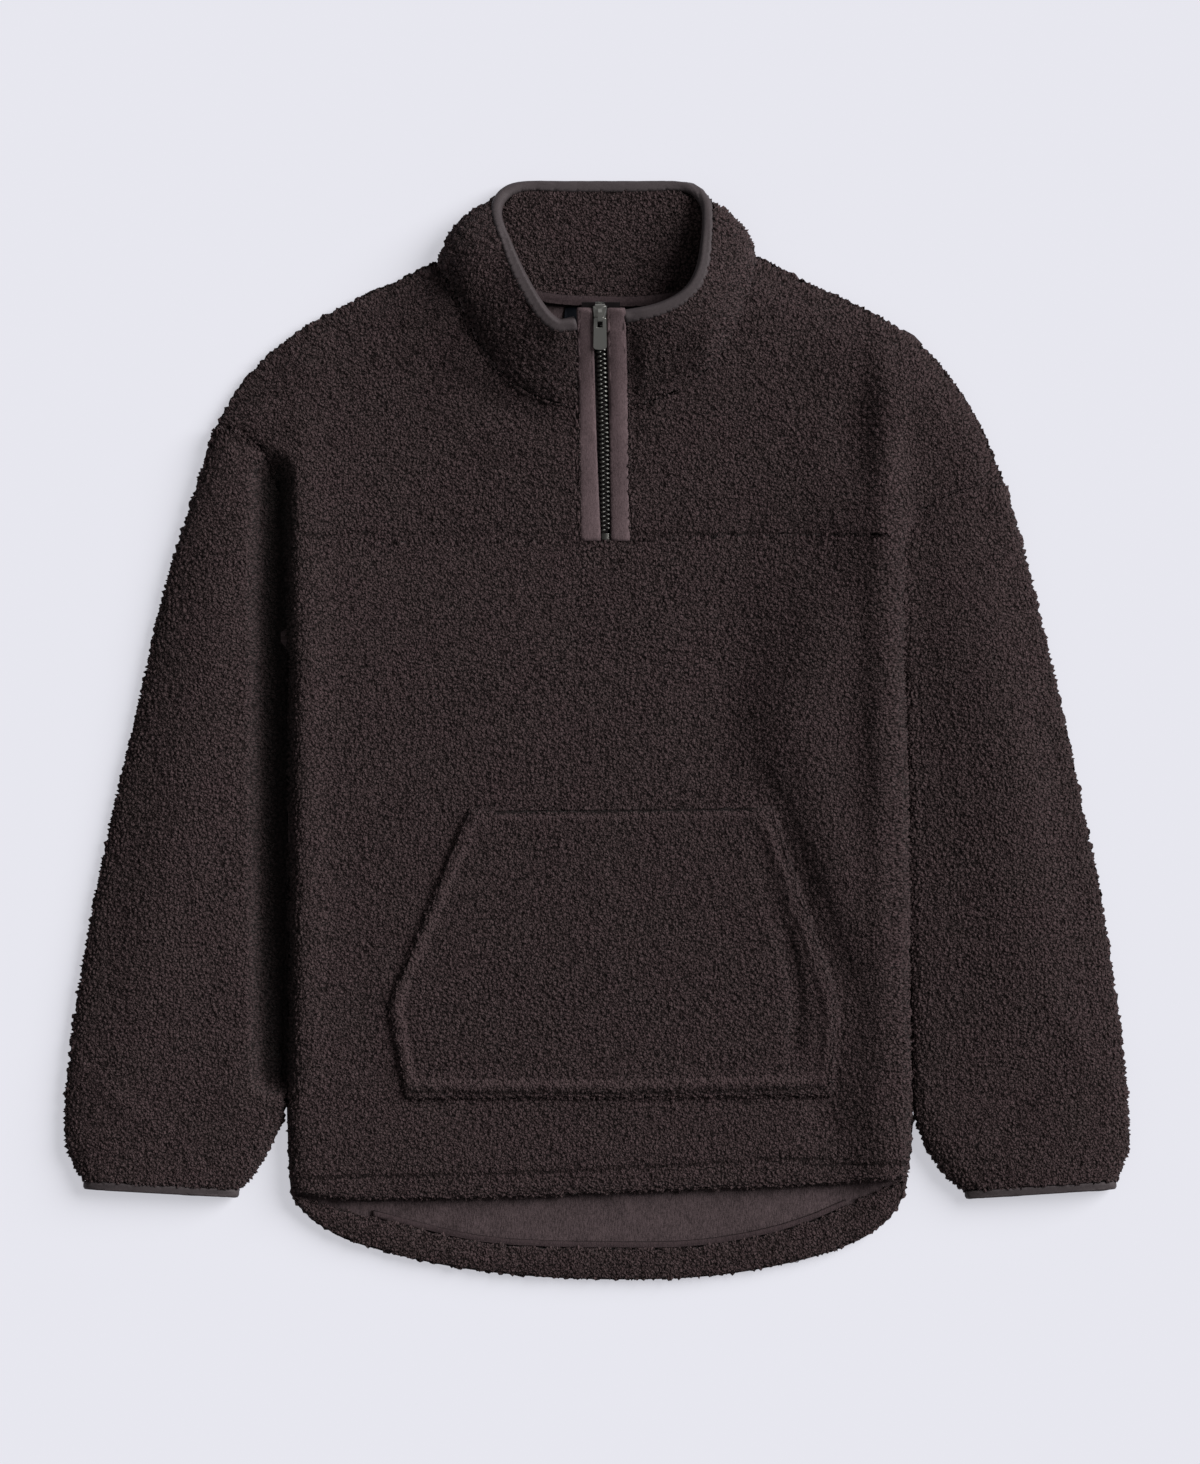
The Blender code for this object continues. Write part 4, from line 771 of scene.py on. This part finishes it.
def boucle_material():
    made, nodes, shader = principled("boucle", Roughness=0.95, Specular_IOR_Level=0.1, Sheen_Weight=0.03,
                                     Sheen_Roughness=0.6)
    place = attribute(nodes, "place")
    tuft, curl = curls(nodes, place)
    stitch = attribute(nodes, "stitch", "Fac")
    fibre = nodes.noise(place, FIBRE, detail=3.0)
    patch = nodes.noise(place, PATCH, detail=3.0)
    # painted shade and highlight: the pile is darker between tufts and curls and along stitch lines, and
    # lighter on curl tips and along the pocket's edge; the fibres' grain and the patches are the yarn's
    # own tone
    shade = (tuft * 0.45 + curl * 0.55 + (fibre - 0.5) * 0.5 - stitch * 0.4).between(0.28, 0.92)
    open_pile = nodes.blend(shade, nodes.blend(patch, *SHADED_ROOTS), nodes.blend(patch, *LIT_TIPS))
    # painted shade: deep in the fold the pile's colour is blended towards a darker one
    deep = nodes.blend(attribute(nodes, "painted_fold_shade", "Fac"), open_pile, PAINTED_FOLD_SHADE)
    nodes.feed(shader.inputs["Base Color"], deep)
    bump(nodes, shader, curl + tuft * 0.4 + fibre * 0.35, FIBRE_BUMP)
    return made


def knit_material(name, colour, grain_size=0.9, depth=0.3, contrast=0.35, roughness=0.85,
                  painted_edge_shade=0.0):
    """Fine smooth cloth: a close grain with faint wales along Y, and painted shade on a strip's sides
    where they slope away from level.
    """
    made, nodes, shader = principled(name, Roughness=roughness, Specular_IOR_Level=0.1)
    place = attribute(nodes, "place")
    grain = nodes.noise(place, grain_size, detail=3.0, roughness=0.65)
    broad = nodes.noise(place, 14.0, detail=2.0)
    wale = nodes.noise(nodes.vector("MULTIPLY", place, (1.0, 0.22, 1.0)), grain_size * 0.8)
    cloth = grain * 0.5 + wale * 0.5
    dark = tuple(channel * (1 - contrast) for channel in colour)
    light = tuple(channel * (1 + contrast) for channel in colour)
    shade = (cloth * 0.85 + broad * 0.15).between(0.32, 0.68)
    # painted shade: where a strip's sides slope away, its colour is blended towards a quarter of itself
    edge = (attribute(nodes, "edge", "Fac") * painted_edge_shade).clamp()
    deep = tuple(channel * 0.25 for channel in colour)
    level = nodes.blend(shade, (*dark, 1), (*light, 1))
    nodes.feed(shader.inputs["Base Color"], nodes.blend(edge, level, (*deep, 1)))
    bump(nodes, shader, cloth, depth)
    return made


def metal_material(name, colour, roughness):
    """Metal with the faint scratches of its polishing."""
    made, nodes, shader = principled(name, Metallic=1.0)
    place = attribute(nodes, "place")
    scratches = nodes.noise(nodes.vector("MULTIPLY", place, (1.0, 0.12, 1.0)), 0.35, detail=2.0)
    nodes.feed(shader.inputs["Roughness"], scratches * 0.16 + (roughness - 0.08))
    dark = tuple(channel * 0.85 for channel in colour)
    nodes.feed(shader.inputs["Base Color"], nodes.blend(scratches, (*dark, 1), (*colour, 1)))
    bump(nodes, shader, scratches, 0.02)
    return made


def floor_material():
    return principled("floor", Roughness=0.9, Specular_IOR_Level=0.0, Base_Color=FLOOR_COLOUR,
                      Emission_Color=FLOOR_GLOW, Emission_Strength=1.0)[0]


# ---------------------------------------------------------------- cloth pieces
boucle = boucle_material()
knit = knit_material("knit", (0.056, 0.040, 0.042), contrast=0.6, depth=0.45)
# the last number of a smooth cloth is how strongly painted shade darkens a strip's sloping sides
seam_tape = knit_material("seam_tape", (0.044, 0.030, 0.032), 0.7, 0.3, 0.5, 0.85, 3.2)
facing = knit_material("facing", (0.092, 0.0635, 0.0675), 0.8, 0.25, 0.35, 0.75, 0.5)
binding = knit_material("binding", (0.054, 0.044, 0.046), 0.5, 0.12, 0.2, 0.6, 0.2)
tape = knit_material("zip_tape", (0.0085, 0.0065, 0.0070), 0.6, 0.2, 0.3, 0.95)
label_cloth = knit_material("label", (0.0040, 0.0048, 0.0072), 0.4, 0.08, 0.3, 0.95)
gunmetal = metal_material("gunmetal", (0.115, 0.112, 0.105), 0.42)
satin_metal = metal_material("satin_metal", (0.36, 0.355, 0.335), 0.42)

# columns: piece, node, flat width, flat length, share of that rectangle
BOUCLE_CUTS = (
    ("front_panel", "front_body", 0.50, 0.52, 0.91),
    ("left_yoke", "yoke_left", 0.28, 0.22, 0.70),
    ("right_yoke", "yoke_right", 0.29, 0.22, 0.68),
    ("left_sleeve", "sleeve_left", 0.36, 0.57, 0.74),
    ("right_sleeve", "sleeve_right", 0.36, 0.54, 0.76),
    ("collar_outside", "collar_outer", 0.46, 0.10, 0.82),
    ("collar_inside", "collar_inner", 0.44, 0.09, 0.88),
    ("pouch_pocket", "pocket", 0.345, 0.235, 0.88),
    ("turned_back_hem", "back_hem_band", 0.48, 0.050, 0.55),
)


def boucle_piece(name, node, keep=None):
    """A boucle panel: its solid's surface with creases, stitches and pile."""
    points, faces, way, side, pile = cloth_surface(node, EDGE_FINE, keep)
    rim = along_lines(points, RIMS)[:, None]
    outward = unit(points * (1, 1, 0))
    way = unit(way * (1 - rim * RIM_TURN) + outward * rim)
    lap = SEAM_LAP + relief(points, SEAM_FILLS)
    laid = drawn(name, points, settle(points) + side * lap[:, None])
    laid[:, 2] -= SUNK.get(name, 0)
    laid += outward * rim * (RIM_OUT * (pile[:, None] > UNDER_PILE))
    mesh = mesh_of(name, laid, faces)
    mark(mesh, "place", points)
    mark(mesh, "way", way)
    mark(mesh, "pile", pile * (1 + SIDE_PILE * (1 - np.abs(way[:, 2]))) * (1 - rim[:, 0] * RIM_THIN))
    # the stitches sink the pile and darken it with painted shade; negative ones raise it and lighten it
    # with a painted highlight
    mark(mesh, "stitch", along_lines(points, STITCHES) * (way[:, 2] > SIDEWAYS))
    # where the pile's colour is darkened with painted shade deep in the fold
    mark(mesh, "painted_fold_shade", along_lines(points, PAINTED_FOLD_SHADE_LINES) * (points[:, 2] > FOLD_ABOVE))
    made = place_mesh(name, mesh, boucle, "boucle", GARMENT, node)
    raise_pile(made)
    return made


def smooth_piece(name, node, slot, finish, edge, passes=0, swell=0.0, inner=None):
    """A strip or panel of smooth cloth, with its edges rounded off. A panel that is only the inner
    side of its node keeps its rim inside the pile."""
    points, faces, way, _, _ = cloth_surface(node, edge, inner)
    moved = rounded_off(drawn(name, points, settle(points)), faces, passes, swell)
    if inner is not None:
        moved = drawn_in(moved, faces)
    moved[:, 2] = np.maximum(moved[:, 2], FLOOR_GAP)
    mesh = mesh_of(name, moved, faces)
    if passes == 0:
        mesh.set_sharp_from_angle(angle=SHARP_EDGE)
    mark(mesh, "place", points)
    # how steeply the cloth slopes, which the material turns into painted shade at a strip's sides
    mark(mesh, "edge", 1 - np.abs(way[:, 2]))
    return place_mesh(name, mesh, finish, slot, GARMENT, node)


pieces = {name: boucle_piece(name, node) for name, node, *_ in BOUCLE_CUTS}


def inner_side(centres, ways, hidden):
    """The back panel's faces that show its smooth side: under the hem, in the neck and inside."""
    neck = (np.abs(centres[:, 0]) < NECK_HALF) & (centres[:, 1] > NECK_FROM)
    return (ways[:, 2] > INSIDE_WAY) & (hidden | neck | (centres[:, 1] < HEM_BELOW))


def outer_side(*faces):
    return ~inner_side(*faces)


pieces["back_panel"] = boucle_piece("back_panel", "back", outer_side)
pieces["back_inside"] = smooth_piece("back_inside", "back", "knit", knit, EDGE_INSIDE, inner=inner_side)

# columns: piece, node, slot, finish, passes of rounding, swell, flat width, flat length, share
SMOOTH_CUTS = (
    ("neck_seam_tape", "neck_tape", "knit", seam_tape, 3, 0.3, 0.166, 0.011, 0.9),
    ("hem_seam_tape", "hem_tape", "knit", seam_tape, 3, 0.2, 0.36, 0.010, 0.62),
    ("collar_edge_binding", "collar_binding", "binding", binding, 1, 0.7, 0.47, 0.0135, 1.0),
    ("left_cuff_binding", "cuff_binding_left", "binding", binding, 1, 0.6, 0.118, 0.020, 1.0),
    ("right_cuff_binding", "cuff_binding_right", "binding", binding, 1, 0.6, 0.116, 0.020, 1.0),
    ("left_zip_facing", "facing_left", "facing", facing, 4, 1.0, 0.016, 0.172, 0.95),
    ("right_zip_facing", "facing_right", "facing", facing, 4, 1.0, 0.016, 0.172, 0.95),
    ("left_tape", "zip_tape_left", "zip_tape", tape, 0, 0.0, 0.0135, 0.18, 1.0),
    ("right_tape", "zip_tape_right", "zip_tape", tape, 0, 0.0, 0.0135, 0.18, 1.0),
    ("woven_label", "label", "label", label_cloth, 0, 0.0, 0.075, 0.036, 1.0),
)
for name, node, slot, finish, passes, swell, *_ in SMOOTH_CUTS:
    pieces[name] = smooth_piece(name, node, slot, finish, EDGE_SMOOTH, passes, swell)

for name, *_, width, length, share in (*BOUCLE_CUTS, *SMOOTH_CUTS):
    share * width * length
    ("floor",) if "sleeve" in name else (pieces["back_panel"],)


# ---------------------------------------------------------------- zip
def tooth_shape():
    """One tooth of the zip: a bar across the tape with a round head, as points and triangles."""
    bm = bmesh.new()
    bmesh.ops.create_cube(bm, size=1.0)
    bmesh.ops.scale(bm, vec=TOOTH, verts=bm.verts[:])
    bmesh.ops.bevel(bm, geom=bm.edges[:], offset=TOOTH_BEVEL, segments=2, affect="EDGES")
    bmesh.ops.triangulate(bm, faces=bm.faces[:])
    bm.verts.index_update()
    points = np.array([vertex.co for vertex in bm.verts])
    faces = np.array([[vertex.index for vertex in face.verts] for face in bm.faces])
    bm.free()
    return points, faces


def zip_teeth():
    """Two rows of teeth that take turns along the closed chain, laid on the chain's solid."""
    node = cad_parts["zip_chain"]
    low, high = (np.array(corner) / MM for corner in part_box("zip_chain"))
    chain = BVHTree.FromPolygons([vertex.co for vertex in node.data.vertices],
                                 [polygon.vertices for polygon in node.data.polygons])

    def level(y, x):
        hit = chain.ray_cast(Vector((x, y, high[2] + CHAIN_ABOVE)) * MM, Vector((0, 0, -1)))[0]
        return None if hit is None else hit.z / MM

    def middle(y):
        columns = [x for x in np.arange(low[0], high[0], CHAIN_STEP) if level(y, x) is not None]
        return (columns[0] + columns[-1]) / 2

    shape, shape_faces = tooth_shape()
    points, faces = [], []
    count = int((high[1] - low[1] - 2 * TOOTH[1]) / TOOTH_PITCH)
    for k in range(2 * count):
        y = low[1] + TOOTH[1] + k * TOOTH_PITCH / 2
        x = middle(y)
        slope = (level(y + 1, x) - level(y - 1, x)) / 2
        tilt = math.atan(slope)
        side = 1 if k % 2 else -1
        turn = Matrix.Rotation(tilt, 3, "X") @ Matrix.Rotation(-side * TOOTH_TURN, 3, "Z")
        faces.append(shape_faces + len(points) * len(shape))
        middle_point = (x + side * TOOTH_OFFSET, y, level(y, x) - TOOTH[2] / 2)
        points.append(shape @ np.array(turn).T + middle_point)
    points, faces = np.vstack(points), np.vstack(faces)
    mesh = mesh_of("zip_teeth", points, faces)
    mark(mesh, "place", points)
    return place_mesh("zip_teeth", mesh, gunmetal, "zip_metal", GARMENT, "zip_chain")


def tape_core():
    """The tapes' thick edges under the teeth."""
    points, faces, way, _, _ = cloth_surface("zip_chain", EDGE_SMOOTH)
    mesh = mesh_of("zip_core", points - way * CORE_DROP, faces)
    mark(mesh, "place", points)
    return place_mesh("zip_core", mesh, tape, "zip_tape", GARMENT, "zip_chain")


def metal_part(name, node, slot, body, finish, width):
    """A metal part with its edges rounded."""
    bm = bmesh.new()
    bm.from_mesh(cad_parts[node].data)
    bmesh.ops.remove_doubles(bm, verts=bm.verts[:], dist=WELD)
    bmesh.ops.dissolve_limit(bm, angle_limit=FLAT_ANGLE, verts=bm.verts[:], edges=bm.edges[:])
    edges = [edge for edge in bm.edges if edge.is_manifold and edge.calc_face_angle() > METAL_SHARP]
    bmesh.ops.bevel(bm, geom=edges, offset=width * MM, segments=3, affect="EDGES", clamp_overlap=True)
    mesh = bpy.data.meshes.new(name)
    bm.to_mesh(mesh)
    bm.free()
    mesh.shade_smooth()
    mesh.set_sharp_from_angle(angle=METAL_SHARP)
    mark(mesh, "place", points_of(mesh))
    return place_mesh(name, mesh, finish, slot, body, node)


zip_teeth()
tape_core()
metal_part("zip_end_stop", "zip_stop", "zip_metal", GARMENT, gunmetal, METAL_ROUND)
metal_part("slider_body", "zip_slider", "zip_metal", GARMENT, satin_metal, METAL_ROUND)
metal_part("slider_pull", "pull_tab", "pull_metal", PULL, satin_metal, PULL_ROUND)


# ---------------------------------------------------------------- stage
def build_stage():
    bm = bmesh.new()
    bmesh.ops.create_grid(bm, x_segments=1, y_segments=1, size=FLOOR_SIZE)
    mesh = bpy.data.meshes.new("floor")
    bm.to_mesh(mesh)
    bm.free()
    mesh.materials.append(floor_material())
    floor = bpy.data.objects.new("floor", mesh)
    bpy.context.scene.collection.objects.link(floor)

    world = bpy.data.worlds.new("studio")
    world.use_nodes = True
    world.node_tree.nodes["Background"].inputs["Color"].default_value = (1, 1, 1, 1)
    world.node_tree.nodes["Background"].inputs["Strength"].default_value = SKY_STRENGTH
    scene = bpy.context.scene
    scene.world = world
    sun = bpy.data.lights.new("key", "SUN")
    sun.angle, sun.energy = SUN_WIDTH, SUN_STRENGTH
    key = bpy.data.objects.new("key", sun)
    key.rotation_euler = Vector(SUN_FROM).to_track_quat("Z", "Y").to_euler()
    scene.collection.objects.link(key)

    camera_data = bpy.data.cameras.new("camera")
    camera_data.sensor_width = SENSOR
    camera_data.lens = camera_data.sensor_width * CAMERA_HEIGHT / (max(PICTURE) * PIXEL)
    camera = bpy.data.objects.new("camera", camera_data)
    camera.location = Vector((*PICTURE_CENTRE, CAMERA_HEIGHT)) * MM
    scene.collection.objects.link(camera)
    scene.camera = camera
    scene.view_settings.view_transform = "Standard"


build_stage()
